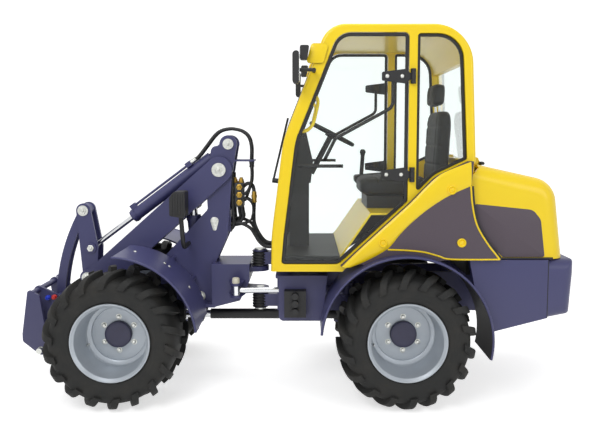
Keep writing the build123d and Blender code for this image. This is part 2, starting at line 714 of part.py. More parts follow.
def tool_carrier():
    """The tool coupler: side plates, inner cheeks, the two cross rails and the link stubs."""
    side = profile(
        (1436, 218, 12),
        (CARRIER_FRONT, -60, 25),
        (CARRIER_FRONT, -109, 25),
        (1362, -204, 30),
        (1328, -180, 20),
        (1338, 0, 60),
        (1364, 182, 25),
    )
    side -= disc(LOCK_X, LOCK_Z, LOCK_RADIUS + FIT)
    cheek = hull(
        disc(TOOL_PIVOT_X, TOOL_PIVOT_Z, 46),
        disc(LINK_LOW_X, LINK_LOW_Z, 36),
        disc(TOP_RAIL_X, TOP_RAIL_Z, 26),
        disc(LOW_RAIL_X, LOW_RAIL_Z, 36),
    )
    cheek -= disc(TOOL_PIVOT_X, TOOL_PIVOT_Z, LINK_PIN_RADIUS + FIT)
    carrier = cross_pin(TOP_RAIL_X, TOP_RAIL_Z, TOP_RAIL_RADIUS, -CARRIER_HALF, CARRIER_HALF)
    rail_half = CARRIER_HALF - CARRIER_PLATE
    carrier += cross_pin(LOW_RAIL_X, LOW_RAIL_Z, TOP_RAIL_RADIUS, -rail_half, rail_half)
    for low in (CARRIER_HALF - CARRIER_PLATE, -CARRIER_HALF):
        carrier += slab(side, low, low + CARRIER_PLATE)
    for low in (CHEEK_INNER, -CHEEK_INNER - CARRIER_PLATE):
        carrier += slab(cheek, low, low + CARRIER_PLATE)
    stub_end = LINK_OUTER + 2 * RUN
    for low in (stub_end, -CHEEK_INNER):
        carrier += cross_pin(LINK_LOW_X, LINK_LOW_Z, LINK_PIN_RADIUS, low, low + CHEEK_INNER - stub_end)
    return carrier


def lock_pins():
    """The two lock pins that reach out of the carrier's side plates."""
    pin = cross_pin(LOCK_X, LOCK_Z, LOCK_RADIUS, CARRIER_HALF - CARRIER_PLATE, CARRIER_HALF)
    return pair(pin + cross_pin(LOCK_X, LOCK_Z, LOCK_TIP_RADIUS, CARRIER_HALF, CARRIER_HALF + LOCK_REACH))


def cylinder_frame(base, eye):
    """The place and direction of a cylinder from its base pin to its rod's eye."""
    base = Vector(*base)
    run = Vector(*eye) - base
    return Plane(origin=base, z_dir=run.normalized()), run.length


def rod_along(frame, radius, low, high):
    """A round bar along a cylinder's own line."""
    bar_solid = Cylinder(radius, high - low, align=(Align.CENTER, Align.CENTER, Align.MIN))
    return frame * Pos(0, 0, low) * bar_solid


def barrel(frame, radius, start, end, rod_radius):
    """A cylinder barrel with a closed base and a gland that the rod runs through."""
    tube = rod_along(frame, radius, start, end)
    tube += rod_along(frame, radius + 4, end - GLAND, end - GLAND / 3)
    tube -= rod_along(frame, radius - BARREL_WALL, start + GLAND, end - GLAND)
    return tube - rod_along(frame, rod_radius + FIT, end - GLAND, end)


def tilt_points():
    """The tilt cylinder's base pin and rod pin."""
    return (TILT_BASE_X, 0, TILT_BASE_Z), (LEVER_ROD_X, 0, LEVER_ROD_Z)


def tilt_upper():
    """The tilt cylinder's frame: across it, up from it and along it."""
    frame, _ = cylinder_frame(*tilt_points())
    return Plane(origin=frame.origin, x_dir=(0, 1, 0), z_dir=frame.z_dir)


def tilt_barrel():
    """The tilt cylinder's barrel with its base eye between the tower plates, its ports and its pipe."""
    frame = tilt_upper()
    half = TOWER_HALF - PLATE - RUN
    body = barrel(frame, TILT_BARREL_RADIUS, TILT_BARREL_START, TILT_BARREL_END, TILT_ROD_RADIUS)
    body += cross_pin(TILT_BASE_X, TILT_BASE_Z, EYE_RADIUS + 8, -half, half)
    body += rod_along(frame, TILT_NECK_RADIUS, 0, TILT_BARREL_START)
    body -= cross_pin(TILT_BASE_X, TILT_BASE_Z, LINK_PIN_RADIUS + FIT, -half, half)
    grip = TILT_BARREL_RADIUS - BARREL_WALL / 2
    top = PORT_RISE + 2 * PIPE_RADIUS
    for run, port_half in ((PORT_RUN, PORT_HALF), (PIPE_END - PORT_LENGTH, 2 * PIPE_RADIUS)):
        port = Box(2 * port_half, top - grip, PORT_LENGTH, align=(Align.CENTER, Align.MIN, Align.MIN))
        body += frame * Pos(0, grip, run) * port
    return body + frame * Pos(0, PORT_RISE, 0) * rod_along(Plane.XY, PIPE_RADIUS, PORT_RUN, PIPE_END)


def tilt_rod():
    """The tilt cylinder's rod and its eye inside the lever."""
    frame, length = cylinder_frame(*tilt_points())
    rod = rod_along(frame, TILT_ROD_RADIUS, TILT_BARREL_END - TILT_ROD_INSIDE, length)
    rod += cross_pin(LEVER_ROD_X, LEVER_ROD_Z, EYE_RADIUS, -TILT_EYE_HALF, TILT_EYE_HALF)
    return rod - cross_pin(LEVER_ROD_X, LEVER_ROD_Z, LINK_PIN_RADIUS - 4, -TILT_EYE_HALF, TILT_EYE_HALF)


def lift_points():
    """The lift cylinder's base pin and rod pin."""
    return (LIFT_BASE_X, 0, LIFT_BASE_Z), (LIFT_EYE_X, 0, LIFT_EYE_Z)


def lift_barrel():
    """The lift cylinder's barrel with its base eye in the front frame."""
    frame, _ = cylinder_frame(*lift_points())
    half = TOWER_HALF - PLATE - RUN
    body = barrel(frame, LIFT_BARREL_RADIUS, EYE_RADIUS, LIFT_BARREL_END, LIFT_ROD_RADIUS)
    body += cross_pin(LIFT_BASE_X, LIFT_BASE_Z, EYE_RADIUS + 5, -half, half)
    return body - cross_pin(LIFT_BASE_X, LIFT_BASE_Z, LINK_PIN_RADIUS + FIT, -half, half)


def lift_rod():
    """The lift cylinder's rod and its eye between the boom's lugs."""
    frame, length = cylinder_frame(*lift_points())
    rod = rod_along(frame, LIFT_ROD_RADIUS, LIFT_BARREL_END - LIFT_ROD_INSIDE, length)
    rod += cross_pin(LIFT_EYE_X, LIFT_EYE_Z, EYE_RADIUS, -EYE_HALF, EYE_HALF)
    return rod - cross_pin(LIFT_EYE_X, LIFT_EYE_Z, LINK_PIN_RADIUS - 4, -EYE_HALF, EYE_HALF)


def steer_points():
    """The steering cylinder's base pin and rod pin."""
    return (STEER_BASE_X, STEER_BASE_Y, STEER_Z), (STEER_EYE_X, STEER_EYE_Y, STEER_Z)


def steer_barrel():
    """The steering cylinder's barrel, pinned to the rear frame."""
    frame, _ = cylinder_frame(*steer_points())
    low, high = STEER_Z - EYE_HALF, STEER_Z + EYE_HALF
    body = barrel(frame, STEER_BARREL_RADIUS, EYE_RADIUS - 4, STEER_BARREL_END, STEER_ROD_RADIUS)
    body += upright(STEER_BASE_X, STEER_BASE_Y, EYE_RADIUS, low, high)
    return body - upright(STEER_BASE_X, STEER_BASE_Y, LINK_PIN_RADIUS - 4 + FIT, low, high)


def steer_rod():
    """The steering cylinder's rod and its eye between the front frame's ears."""
    frame, length = cylinder_frame(*steer_points())
    low, high = STEER_Z - EYE_HALF, STEER_Z + EYE_HALF
    rod = rod_along(frame, STEER_ROD_RADIUS, STEER_BARREL_END - STEER_ROD_INSIDE, length)
    rod += upright(STEER_EYE_X, STEER_EYE_Y, EYE_RADIUS - 3, low, high)
    return rod - upright(STEER_EYE_X, STEER_EYE_Y, LINK_PIN_RADIUS - 4, low, high)


def loader_hoses():
    """The two hoses that arch over the tower to the tilt cylinder, and the two that cross to the cab."""
    frame = tilt_upper()
    hoses = []
    for y in (-HOSE_Y, HOSE_Y):
        arch = [
            frame.from_local_coords((y, PORT_RISE, PORT_RUN - SEAT)),
            frame.from_local_coords((y, PORT_RISE, PORT_RUN - HOSE_LEAD)),
            (HOSE_ARCH_X, y, HOSE_ARCH_TOP),
            (HOSE_FOOT_X, y, HOSE_ARCH_TOP),
            (HOSE_FOOT_X, y, HOSE_BRACKET_TOP + SEAT),
        ]
        hoses.append(bent_tube(arch, HOSE_BEND, HOSE_RADIUS))
    cab_z = FLOOR_TOP - FLOOR_SHEET / 2
    for y, tower_z in CROSS_HOSES:
        crossing = [
            (HOSE_PLATE_X - SEAT, y, tower_z),
            (CROSS_FRONT_X, y, tower_z),
            (CROSS_REAR_X, y, cab_z),
            (FLOOR_FRONT + SEAT, y, cab_z),
        ]
        hoses.append(bent_tube(crossing, CROSS_BEND, HOSE_RADIUS))
    return Part() + hoses


def rear_chassis():
    """The rear frame: twin rails, deck, cheeks, bulkhead and the articulation bosses."""
    upper = TONGUE_UPPER + TONGUE + RUN
    lower = TONGUE_LOWER - RUN - PIVOT_BOSS_HEIGHT
    rise = 12
    frame = box(DECK_REAR, BULKHEAD_FRONT, -SIDE_INNER, SIDE_INNER, RAIL_HIGH, DECK_TOP)
    for low in (RAIL_INNER, -RAIL_INNER - RAIL_PLATE):
        frame += box(TAIL_SPLIT, RAIL_FRONT, low, low + RAIL_PLATE, RAIL_LOW, RAIL_HIGH)
    for x in (TAIL_SPLIT, CROSS_MEMBER):
        frame += box(x, x + RAIL_PLATE, -RAIL_INNER, RAIL_INNER, RAIL_LOW, RAIL_HIGH)
    cheek = profile((CHEEK_FRONT, DECK_TOP), (CHEEK_FRONT, 53, 30), (-398, 53), (DECK_REAR, DECK_TOP))
    cheek -= disc(-REAR_REACH, 0, FENDER_RADIUS + FENDER_SHEET + SEAT)
    for low in (SIDE_INNER, -SIDE_INNER - SIDE_PLATE):
        frame += slab(cheek, low, low + SIDE_PLATE)
    bulkhead = (BULKHEAD_FRONT - PLATE, BULKHEAD_FRONT)
    frame += box(*bulkhead, -BULKHEAD_HALF, BULKHEAD_HALF, lower, upper + PIVOT_BOSS_HEIGHT - rise)
    for low in (upper, lower):
        high = low + PIVOT_BOSS_HEIGHT
        frame += upright(0, 0, PIVOT_BOSS_RADIUS, low, high)
        frame += box(BULKHEAD_FRONT, 0, -PIVOT_ARM_HALF, PIVOT_ARM_HALF, low + rise, high - rise)
        frame -= upright(0, 0, PIVOT_PIN_RADIUS + FIT, low, high)
    for x in (MOUNT_FRONT, MOUNT_REAR):
        for y in (-MOUNT_Y, MOUNT_Y):
            frame += upright(x, y, MOUNT_RADIUS, DECK_TOP, FLOOR_TOP - FLOOR_SHEET)
    ear = hull(
        Pos(STEER_BASE_X, STEER_BASE_Y) * Circle(EYE_RADIUS),
        Pos(STEER_BASE_X, RAIL_INNER + RAIL_PLATE) * Circle(EYE_RADIUS + 15),
    )
    ear_side = Pos(STEER_BASE_X, RAIL_INNER + 100) * Rectangle(200, 200)
    ear_gap = STEER_BARREL_RADIUS + RUN
    for low in (STEER_Z - ear_gap - EAR, STEER_Z + ear_gap):
        frame += level(ear & ear_side, low, low + EAR)
    pin_low = STEER_Z - ear_gap - EAR
    pin_high = STEER_Z + ear_gap + EAR
    return frame + upright(STEER_BASE_X, STEER_BASE_Y, LINK_PIN_RADIUS - 4, pin_low, pin_high)


def pivot_pins():
    """The two upright pins of the articulation, headed on the rear frame's bosses."""
    upper = TONGUE_UPPER + TONGUE + RUN + PIVOT_BOSS_HEIGHT
    lower = TONGUE_LOWER - RUN - PIVOT_BOSS_HEIGHT
    top_pin = upright(0, 0, PIVOT_PIN_RADIUS, TONGUE_UPPER, upper)
    top_pin += upright(0, 0, PIVOT_BOSS_RADIUS - 8, upper, upper + PIN_HEAD)
    low_pin = upright(0, 0, PIVOT_PIN_RADIUS, lower, TONGUE_LOWER + TONGUE)
    low_pin += upright(0, 0, PIVOT_BOSS_RADIUS - 8, lower - PIN_HEAD, lower)
    return Part() + [top_pin, low_pin]


def engine():
    """The engine and pump as one plain block on the rails."""
    return box(ENGINE_REAR, ENGINE_FRONT, -ENGINE_HALF, ENGINE_HALF, RAIL_HIGH, ENGINE_TOP)


def valve_block():
    """The hydraulic block on the left cheek under the cab."""
    outer = SIDE_INNER + SIDE_PLATE
    face = outer + VALVE_DEPTH
    block = box(VALVE_REAR, VALVE_REAR + VALVE_LENGTH, outer, face, 90, 250)
    for z in (130, 180, 225):
        block += cross_pin(VALVE_REAR + VALVE_LENGTH / 2, z, 20, face, face + 35)
    return block


def counterweight():
    """The cast tail weight with its tow slot and upright pin bore."""
    side = profile(
        (TAIL_SPLIT, TAIL_TOP),
        (TAIL_FACE, TAIL_TOP, 14),
        (TAIL_FACE, HITCH_HIGH),
        (TAIL_FACE + TAIL_RAKE, TAIL_FOOT, 20),
        (TAIL_SPLIT, TAIL_BOTTOM),
    )
    weight = slab(side, -TAIL_HALF, TAIL_HALF)
    uprights = weight.edges().filter_by(lambda edge: abs(abs(edge.center().Y) - TAIL_HALF) < 1)
    corner = uprights.filter_by(lambda edge: edge.center().X < TAIL_SPLIT - 100 and edge.length > 100)
    corner = corner.filter_by(lambda edge: abs(edge.center().Z - TAIL_TOP) > 20)
    weight = fillet(corner.filter_by(lambda edge: edge.center().Z > TAIL_BOTTOM + 40), 60)
    lip = profile((TAIL_FACE + 20, 405), (TAIL_END, 392, 8), (TAIL_END, 282, 8), (TAIL_FACE + 20, 268))
    weight += slab(lip, -HITCH_HALF - 30, HITCH_HALF + 30)
    weight -= box(TAIL_END, TAIL_END + HITCH_DEPTH, -HITCH_HALF, HITCH_HALF, HITCH_LOW, HITCH_HIGH)
    return weight - upright(HITCH_X, 0, HITCH_BORE, HITCH_LOW - 60, TAIL_TOP)


def tail_lamps():
    """Two upright lamp units on the counterweight's lower rear corners."""
    slope = TAIL_RAKE / (HITCH_HIGH - TAIL_FOOT)
    top = TAIL_FACE + slope * (HITCH_HIGH - TAIL_LAMP_HIGH) - SEAT
    foot = TAIL_FACE + slope * (HITCH_HIGH - TAIL_LAMP_LOW) - SEAT
    outline = profile(
        (top, TAIL_LAMP_HIGH),
        (foot, TAIL_LAMP_LOW),
        (foot - TAIL_LAMP_DEPTH, TAIL_LAMP_LOW),
        (top - TAIL_LAMP_DEPTH, TAIL_LAMP_HIGH),
    )
    return pair(slab(outline, TAIL_LAMP_INNER, TAIL_LAMP_OUTER))


def side_skirts():
    """The slabs between each rear wheel and the counterweight."""
    outline = profile(
        (-REAR_REACH - SKIRT_TOP_RUN, TAIL_TOP),
        (TAIL_SPLIT, TAIL_TOP),
        (TAIL_SPLIT, TAIL_BOTTOM + 10),
        (-REAR_REACH - SKIRT_FOOT_RUN, 16),
    )
    outline -= disc(-REAR_REACH, 0, FENDER_RADIUS + FENDER_SHEET + SEAT)
    return pair(slab(outline, TAIL_HALF - SKIRT, TAIL_HALF))


def hood_outline():
    """The engine hood seen from the side."""
    return profile(
        (-1304, 1008),
        (-1760, 906, 150),
        (-1815, TAIL_TOP + 3),
        (-1422 - SEAM, TAIL_TOP + 3),
        (-1275 - SEAM, 660, 250),
        (-1242 - SEAM, 880, 200),
        (-1246 - SEAM, 945),
        (-1304, 985),
    )


def rounded_top(solid, half, radius):
    """Rounds the two long upper edges of the hood."""
    edges = solid.edges().filter_by(lambda edge: abs(abs(edge.center().Y) - half) < 1)
    edges = edges.filter_by(lambda edge: edge.center().X < -1440 and edge.center().Z > TAIL_TOP + 20)
    return fillet(edges, radius)


def engine_hood():
    """The rear hood: a shell open below and in front, with its two hinge ears."""
    hood = rounded_top(slab(hood_outline(), -HOOD_HALF, HOOD_HALF), HOOD_HALF, HOOD_EDGE)
    hollow = profile((-1230, 1006), (-1743, 888, 130), (-1793, TAIL_TOP - 20), (-1230, TAIL_TOP - 20))
    inner_half = HOOD_HALF - HOOD_SHEET
    hood -= rounded_top(slab(hollow, -inner_half, inner_half), inner_half, HOOD_EDGE - HOOD_SHEET)
    ear = disc(HOOD_HINGE_X, HOOD_HINGE_Z, 13)
    ear += profile((-1312, 995), (-1312, HOOD_HINGE_Z), (-1335, HOOD_HINGE_Z), (-1360, 988))
    ear -= disc(HOOD_HINGE_X, HOOD_HINGE_Z, HOOD_PIN_RADIUS + FIT)
    low = HOOD_HINGE_Y + 14
    hood += slab(ear, low, low + 12)
    return hood + slab(ear, -low - 12, -low)


def side_cowls():
    """The moulded panels below the cab's rear windows, over the rear wheels."""
    outline = profile(
        (-500, 425),
        (-893, 789),
        (-936, 834),
        (-1041, 943, 200),
        (-1227, 1030),
        (-1255, 1030),
        (-1242, 880, 200),
        (-1275, 660, 250),
        (-1422, TAIL_TOP + 5),
        (-1100, TAIL_TOP + 5),
        (-700, 380),
        (-620, 440),
        (-512, 416),
    )
    outline -= disc(-REAR_REACH, 0, FENDER_RADIUS + FENDER_SHEET + SEAT)
    return pair(slab(outline, CAB_HALF, COWL_OUTER))


def cab_shell():
    """The cab's outer form seen from the side, closed to its underside."""
    return profile(
        (-95, CAB_UNDERSIDE),
        SCREEN_FOOT,
        (*SCREEN_KNEE, 500),
        (-425, CAB_ROOF, 150),
        (-1244, CAB_ROOF, 230),
        (REAR_WALL_OUTER, WAIST),
        (REAR_WALL_OUTER, CAB_UNDERSIDE),
    )


def shell_band(outer, inner, clip):
    """A sheet that follows the cab's outer form between two depths, kept inside a clip outline."""
    skin = cab_shell() if outer == 0 else offset(cab_shell(), -outer)
    return (skin - offset(cab_shell(), -inner)) & clip


def door_opening():
    """The door opening seen from the side."""
    return profile(
        (-155, 429, 20),
        (-171, 611),
        (-238, 1150, 450),
        (-482, 1760, 110),
        (-887, 1760, 30),
        (-887, 797, 20),
        (-490, 429, 60),
    )


def quarter_opening():
    """The rear quarter window seen from the side."""
    return profile(
        (-933, 1755, 20),
        (-1190, 1755, 150),
        (-1227, 1040, 15),
        (-1041, 952, 200),
        (-933, 842, 15),
    )


def cab_side():
    """The left cab side: pillars, roof rail and sill round the door and quarter window."""
    lower = profile(
        (REAR_WALL_OUTER - 10, WAIST),
        (-1240, 1000),
        (-1240, 846),
        (-1085, 846),
        (-880, 700),
        (-510, CAB_UNDERSIDE, 40),
        (-510, 0),
        (-1500, 0),
        (-1500, WAIST),
    )
    outline = cab_shell() - lower - door_opening() - quarter_opening()
    side = slab(outline, CAB_INNER, CAB_HALF)
    rim_edges = side.faces().sort_by(Axis.Y)[-1].outer_wire().edges()
    return fillet(rim_edges.filter_by(lambda edge: edge.center().Z > WAIST), CAB_EDGE)


def cab_roof():
    """The roof with its front and rear headers, between the cab sides."""
    clip = profile(
        (0, ROOF_FRONT_LOW),
        (0, CAB_ROOF + 100),
        (-1500, CAB_ROOF + 100),
        (-1500, ROOF_REAR_LOW),
        (-700, ROOF_REAR_LOW),
        (-700, ROOF_FRONT_LOW),
    )
    return slab(shell_band(0, ROOF_DEPTH, clip), -CAB_INNER, CAB_INNER)


def windscreen():
    """The curved windscreen, from the floor to the front header."""
    top = ROOF_FRONT_LOW - SEAT
    clip = profile((0, FLOOR_TOP), (0, top), (-700, top), (-700, FLOOR_TOP))
    return slab(shell_band(GLASS_INSET, GLASS_INSET + GLASS, clip), -CAB_INNER, CAB_INNER)


def rear_window():
    """The rear window, from the waist to the rear header."""
    top = ROOF_REAR_LOW - SEAT
    clip = profile((-1100, WAIST), (-1100, top), (-1500, top), (-1500, WAIST))
    return slab(shell_band(GLASS_INSET, GLASS_INSET + GLASS, clip), -CAB_INNER, CAB_INNER)


def quarter_windows():
    """The two fixed rear side windows."""
    pane = offset(quarter_opening(), -SEAT)
    return pair(slab(pane, CAB_HALF - 30, CAB_HALF - 30 + GLASS))


def cab_windows():
    """All the cab's fixed panes."""
    return Part() + [windscreen(), rear_window(), quarter_windows()]


def cab_rear_wall():
    """The wall below the rear window, with the hood's hinge brackets."""
    low = SEAT_DECK - SEAT_SHEET
    clip = profile((-1100, low), (-1100, WAIST - SEAT), (-1500, WAIST - SEAT), (-1500, low))
    wall = slab(shell_band(0, REAR_WALL, clip), -CAB_INNER, CAB_INNER)
    bracket = profile(
        (REAR_WALL_OUTER, WAIST - 16),
        (REAR_WALL_OUTER, WAIST - SEAT),
        (HOOD_HINGE_X, HOOD_HINGE_Z + 13),
        (HOOD_HINGE_X, HOOD_HINGE_Z - 13),
    )
    bracket += disc(HOOD_HINGE_X, HOOD_HINGE_Z, 13)
    for side in (-1, 1):
        arm = sorted((side * HOOD_HINGE_Y, side * (HOOD_HINGE_Y + 12)))
        pin = sorted((side * (HOOD_HINGE_Y + 12), side * (HOOD_HINGE_Y + 30)))
        wall += slab(bracket, *arm)
        wall += cross_pin(HOOD_HINGE_X, HOOD_HINGE_Z, HOOD_PIN_RADIUS, *pin)
    return wall


def cab_floor():
    """The flat cab floor on the four mounts."""
    return box(FLOOR_REAR, FLOOR_FRONT, -CAB_INNER, CAB_INNER, FLOOR_TOP - FLOOR_SHEET, FLOOR_TOP)


def seat_deck():
    """The folded deck that rises behind the floor and carries the seat."""
    fold = profile(
        (FLOOR_REAR, FLOOR_TOP),
        (-676, SEAT_DECK),
        (REAR_WALL_OUTER + REAR_WALL, SEAT_DECK),
        (REAR_WALL_OUTER + REAR_WALL, SEAT_DECK - SEAT_SHEET),
        (-682, SEAT_DECK - SEAT_SHEET),
        (FLOOR_REAR - SEAT_SHEET, FLOOR_TOP - 4),
        (FLOOR_REAR - SEAT_SHEET, FLOOR_TOP - FLOOR_SHEET),
        (FLOOR_REAR, FLOOR_TOP - FLOOR_SHEET),
    )
    return slab(fold, -CAB_INNER, CAB_INNER)


def door_glass():
    """The left door's pane."""
    pane = offset(door_opening(), -DOOR_MARGIN)
    return slab(pane, CAB_HALF - 16, CAB_HALF - 16 + GLASS)


def door_hardware():
    """The left door's hinge arms, latch bar and bent pull bar, carried by the pane."""
    pane_in = CAB_HALF - 16
    pane_out = pane_in + GLASS
    pieces = []
    for z in HINGE_HEIGHTS:
        arm = profile(
            (-730, z - 24, 8),
            (-730, z + 24, 8),
            (-870, z + 42, 8),
            (-888, z + 20),
            (DOOR_AXIS_X, z + 20),
            (DOOR_AXIS_X, z - 20),
            (-888, z - 20),
            (-870, z - 42, 8),
        )
        hinge = slab(arm, CAB_HALF + RUN, CAB_HALF + RUN + 12)
        hinge += upright(DOOR_AXIS_X, DOOR_AXIS_Y, 14, z - 20, z + 20)
        for x in (-760, -845):
            hinge += cross_pin(x, z, 10, pane_out, CAB_HALF + RUN)
        pieces.append(hinge - upright(DOOR_AXIS_X, DOOR_AXIS_Y, DOOR_PIN_RADIUS + FIT, z - 20, z + 20))
    bar_y = pane_in - 24
    latch = bar((LATCH_FRONT, bar_y, LATCH_Z), (LATCH_REAR, bar_y, LATCH_Z), DOOR_BAR_RADIUS)
    for x in (LATCH_FRONT - 2 * DOOR_BAR_RADIUS, LATCH_REAR + 2 * DOOR_BAR_RADIUS):
        latch += cross_pin(x, LATCH_Z, DOOR_BAR_RADIUS - 3, bar_y, pane_in)
    pieces.append(latch)
    foot, head = PULL_POINTS[0], PULL_POINTS[-1]
    pull = bent_tube([(x, bar_y, z) for x, z in PULL_POINTS], PULL_BEND, DOOR_BAR_RADIUS)
    for x, z in (foot, head):
        pull += cross_pin(x, z, DOOR_BAR_RADIUS, bar_y - DOOR_BAR_RADIUS, pane_in)
    pieces.append(pull)
    return Part() + pieces


def door_hinges():
    """The fixed hinge knuckles and pins on both door posts."""
    pieces = []
    for z in HINGE_HEIGHTS:
        knuckle = upright(DOOR_AXIS_X, DOOR_AXIS_Y, DOOR_PIN_RADIUS, z - 42, z + 42)
        for low in (z - 42, z + 22):
            knuckle += upright(DOOR_AXIS_X, DOOR_AXIS_Y, 14, low, low + 20)
            knuckle += box(DOOR_AXIS_X - 14, DOOR_AXIS_X + 14, CAB_HALF, DOOR_AXIS_Y, low, low + 20)
        pieces.append(knuckle)
        pieces.append(mirror(knuckle, about=Plane.XZ))
    return Part() + pieces


def seat_stand():
    """The seat's suspension box, and the armrest console with its control lever on the driver's right."""
    base = box(-1050, -680, -190, 190, SEAT_DECK, SEAT_DECK + 75)
    side = profile(
        (-640, 860, 30),
        (-640, 900, 15),
        (-1000, 930, 30),
        (-1000, SEAT_DECK),
        (-760, SEAT_DECK, 40),
    )
    console = slab(side, -400, -290) + bar((-690, -345, 885), (-700, -345, 1040), 14)
    return Part() + [base, console]


def seat_cushion():
    """The seat cushion."""
    side = profile(
        (SEAT_FRONT, SEAT_DECK + 75, 20),
        (SEAT_FRONT, SEAT_DECK + 195, 50),
        (-760, SEAT_DECK + 200),
        (SEAT_REAR, SEAT_DECK + 185),
        (SEAT_REAR, SEAT_DECK + 75),
    )
    return slab(side, -SEAT_HALF, SEAT_HALF)


def seat_backrest():
    """The backrest and headrest."""
    side = profile(
        (SEAT_REAR - SEAT, SEAT_DECK + 90),
        (SEAT_REAR - SEAT, SEAT_DECK + 200),
        (-1120, 1345, 40),
        (-1205, 1335, 40),
        (-1180, SEAT_DECK + 90, 30),
    )
    head = profile((-1090, 1365, 25), (-1102, 1508, 30), (-1180, 1500, 30), (-1176, 1360, 25))
    back = slab(side, -SEAT_HALF + 10, SEAT_HALF - 10) + slab(head, -125, 125)
    for y in (-60, 60):
        back += bar((-1150, y, 1320), (-1145, y, 1380), 8)
    return back


def dashboard():
    """The instrument stand with its pedestal and the steering column."""
    side = profile((-195, 880), (-330, 880), (-345, 1010, 20), (-300, 1206, 25), (-235, 1206, 20))
    stand = slab(side, -150, 150)
    stand += box(-320, -195, -90, 90, FLOOR_TOP, 880)
    return stand + bar(COLUMN_TOP, COLUMN_FOOT, 18)


def steering_wheel():
    """The steering wheel on its column."""
    run = Vector(*COLUMN_TOP) - Vector(*COLUMN_FOOT)
    frame = Plane(origin=COLUMN_TOP, x_dir=(0, 1, 0), z_dir=run.normalized())
    ring = RegularPolygon(WHEEL_GRIP_RADIUS + 13, 24) - RegularPolygon(WHEEL_GRIP_RADIUS - 13, 24)
    wheel = extrude(frame * Pos(0, 0, 14) * ring, 24)
    wheel += frame * Cylinder(38, 30, align=(Align.CENTER, Align.CENTER, Align.MIN))
    for turn in (0, 120, 240):
        spoke = Pos(WHEEL_GRIP_RADIUS / 2, 0, 22) * Box(WHEEL_GRIP_RADIUS - 6, 22, 10)
        wheel += frame * Rot(0, 0, turn) * spoke
    return wheel


def cab_fittings():
    """Two mirrors on arms from the front pillars, and the wiper before the windscreen."""
    slope = (SCREEN_KNEE[0] - SCREEN_FOOT[0]) / (SCREEN_KNEE[1] - SCREEN_FOOT[1])
    out = Vector(1, 0, -slope).normalized()
    screen_x = SCREEN_FOOT[0] + slope * (WIPER_Z - SCREEN_FOOT[1])
    pivot = Vector(screen_x, 0, WIPER_Z) - out * (GLASS_INSET - SEAT)
    knob = pivot + out * WIPER_STAND
    wiper = bar(tuple(pivot), tuple(knob), WIPER_KNOB_RADIUS)
    wiper += bar(tuple(knob - out * WIPER_RADIUS), WIPER_TIP, WIPER_RADIUS)
    head = slab(profile((-225, 1460, 20), (-225, 1637, 20), (-262, 1637, 15), (-262, 1460, 15)), 560, 650)
    arm = cross_pin(-345, 1540, 10, CAB_HALF, 585)
    arm += bar((-345, 575, 1540), (-250, 575, 1540), 10)
    return Part() + [pair(head + arm), wiper]


def cab_lamps():
    """Two work lamps on brackets beside the windscreen's upper corners."""
    bracket = profile((-300, 1585, 15), (-330, 1696, 20), (-430, 1696, 20), (-398, 1585, 15))
    lamp = profile((-266, 1600, 10), (-266, 1680, 10), (-318, 1680, 10), (-306, 1600, 10))
    return pair(slab(bracket, CAB_HALF, CAB_HALF + 12) + slab(lamp, CAB_HALF + 4, CAB_HALF + 60))


def wheel_place(x, side):
    """The place of a wheel at an axle, turned so that its dish faces outwards."""
    place = Pos(x, side * TRACK / 2, 0)
    return place if side > 0 else place * Rot(0, 0, 180)


def export(name, shape):
    """Sets a piece on the ground and writes it."""
    export_step(ON_GROUND * shape, "parts/" + name + ".step")


os.makedirs("parts", exist_ok=True)
tyre_solid = tyre()
rim_solid = rim()
for end, x in (("front", FRONT_REACH), ("rear", -REAR_REACH)):
    for name, side in (("left", 1), ("right", -1)):
        tread = tyre_solid if side > 0 else mirror(tyre_solid, about=Plane.XZ)
        export("tyre_" + end + "_" + name, Pos(x, side * TRACK / 2, 0) * tread)
        export("rim_" + end + "_" + name, wheel_place(x, side) * rim_solid)
export("front_axle", axle(FRONT_REACH, -1, FRAME_UNDERSIDE))
export("rear_axle", axle(-REAR_REACH, 1, RAIL_LOW))
left_side = cab_side()
left_glass = door_glass()
left_hardware = door_hardware()
export("cab_side_left", left_side)
export("cab_side_right", mirror(left_side, about=Plane.XZ))
export("door_glass_left", left_glass)
export("door_glass_right", mirror(left_glass, about=Plane.XZ))
export("door_hardware_left", left_hardware)
export("door_hardware_right", mirror(left_hardware, about=Plane.XZ))
PIECES = (
    drive_shaft_rear,
    drive_shaft_front,
    front_chassis,
    front_pins,
    front_fenders,
    front_lamps,
    boom,
    lever_pin,
    tilt_lever,
    link_pin,
    tilt_link,
    tool_pin,
    tool_carrier,
    lock_pins,
    tilt_barrel,
    tilt_rod,
    lift_barrel,
    lift_rod,
    steer_barrel,
    steer_rod,
    loader_hoses,
    rear_chassis,
    pivot_pins,
    engine,
    valve_block,
    counterweight,
    tail_lamps,
    side_skirts,
    rear_fenders,
    engine_hood,
    side_cowls,
    cab_roof,
    cab_windows,
    cab_rear_wall,
    cab_floor,
    seat_deck,
    door_hinges,
    seat_stand,
    seat_cushion,
    seat_backrest,
    dashboard,
    steering_wheel,
    cab_fittings,
    cab_lamps,
)
for piece in PIECES:
    export(piece.__name__, piece())
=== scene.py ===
import math

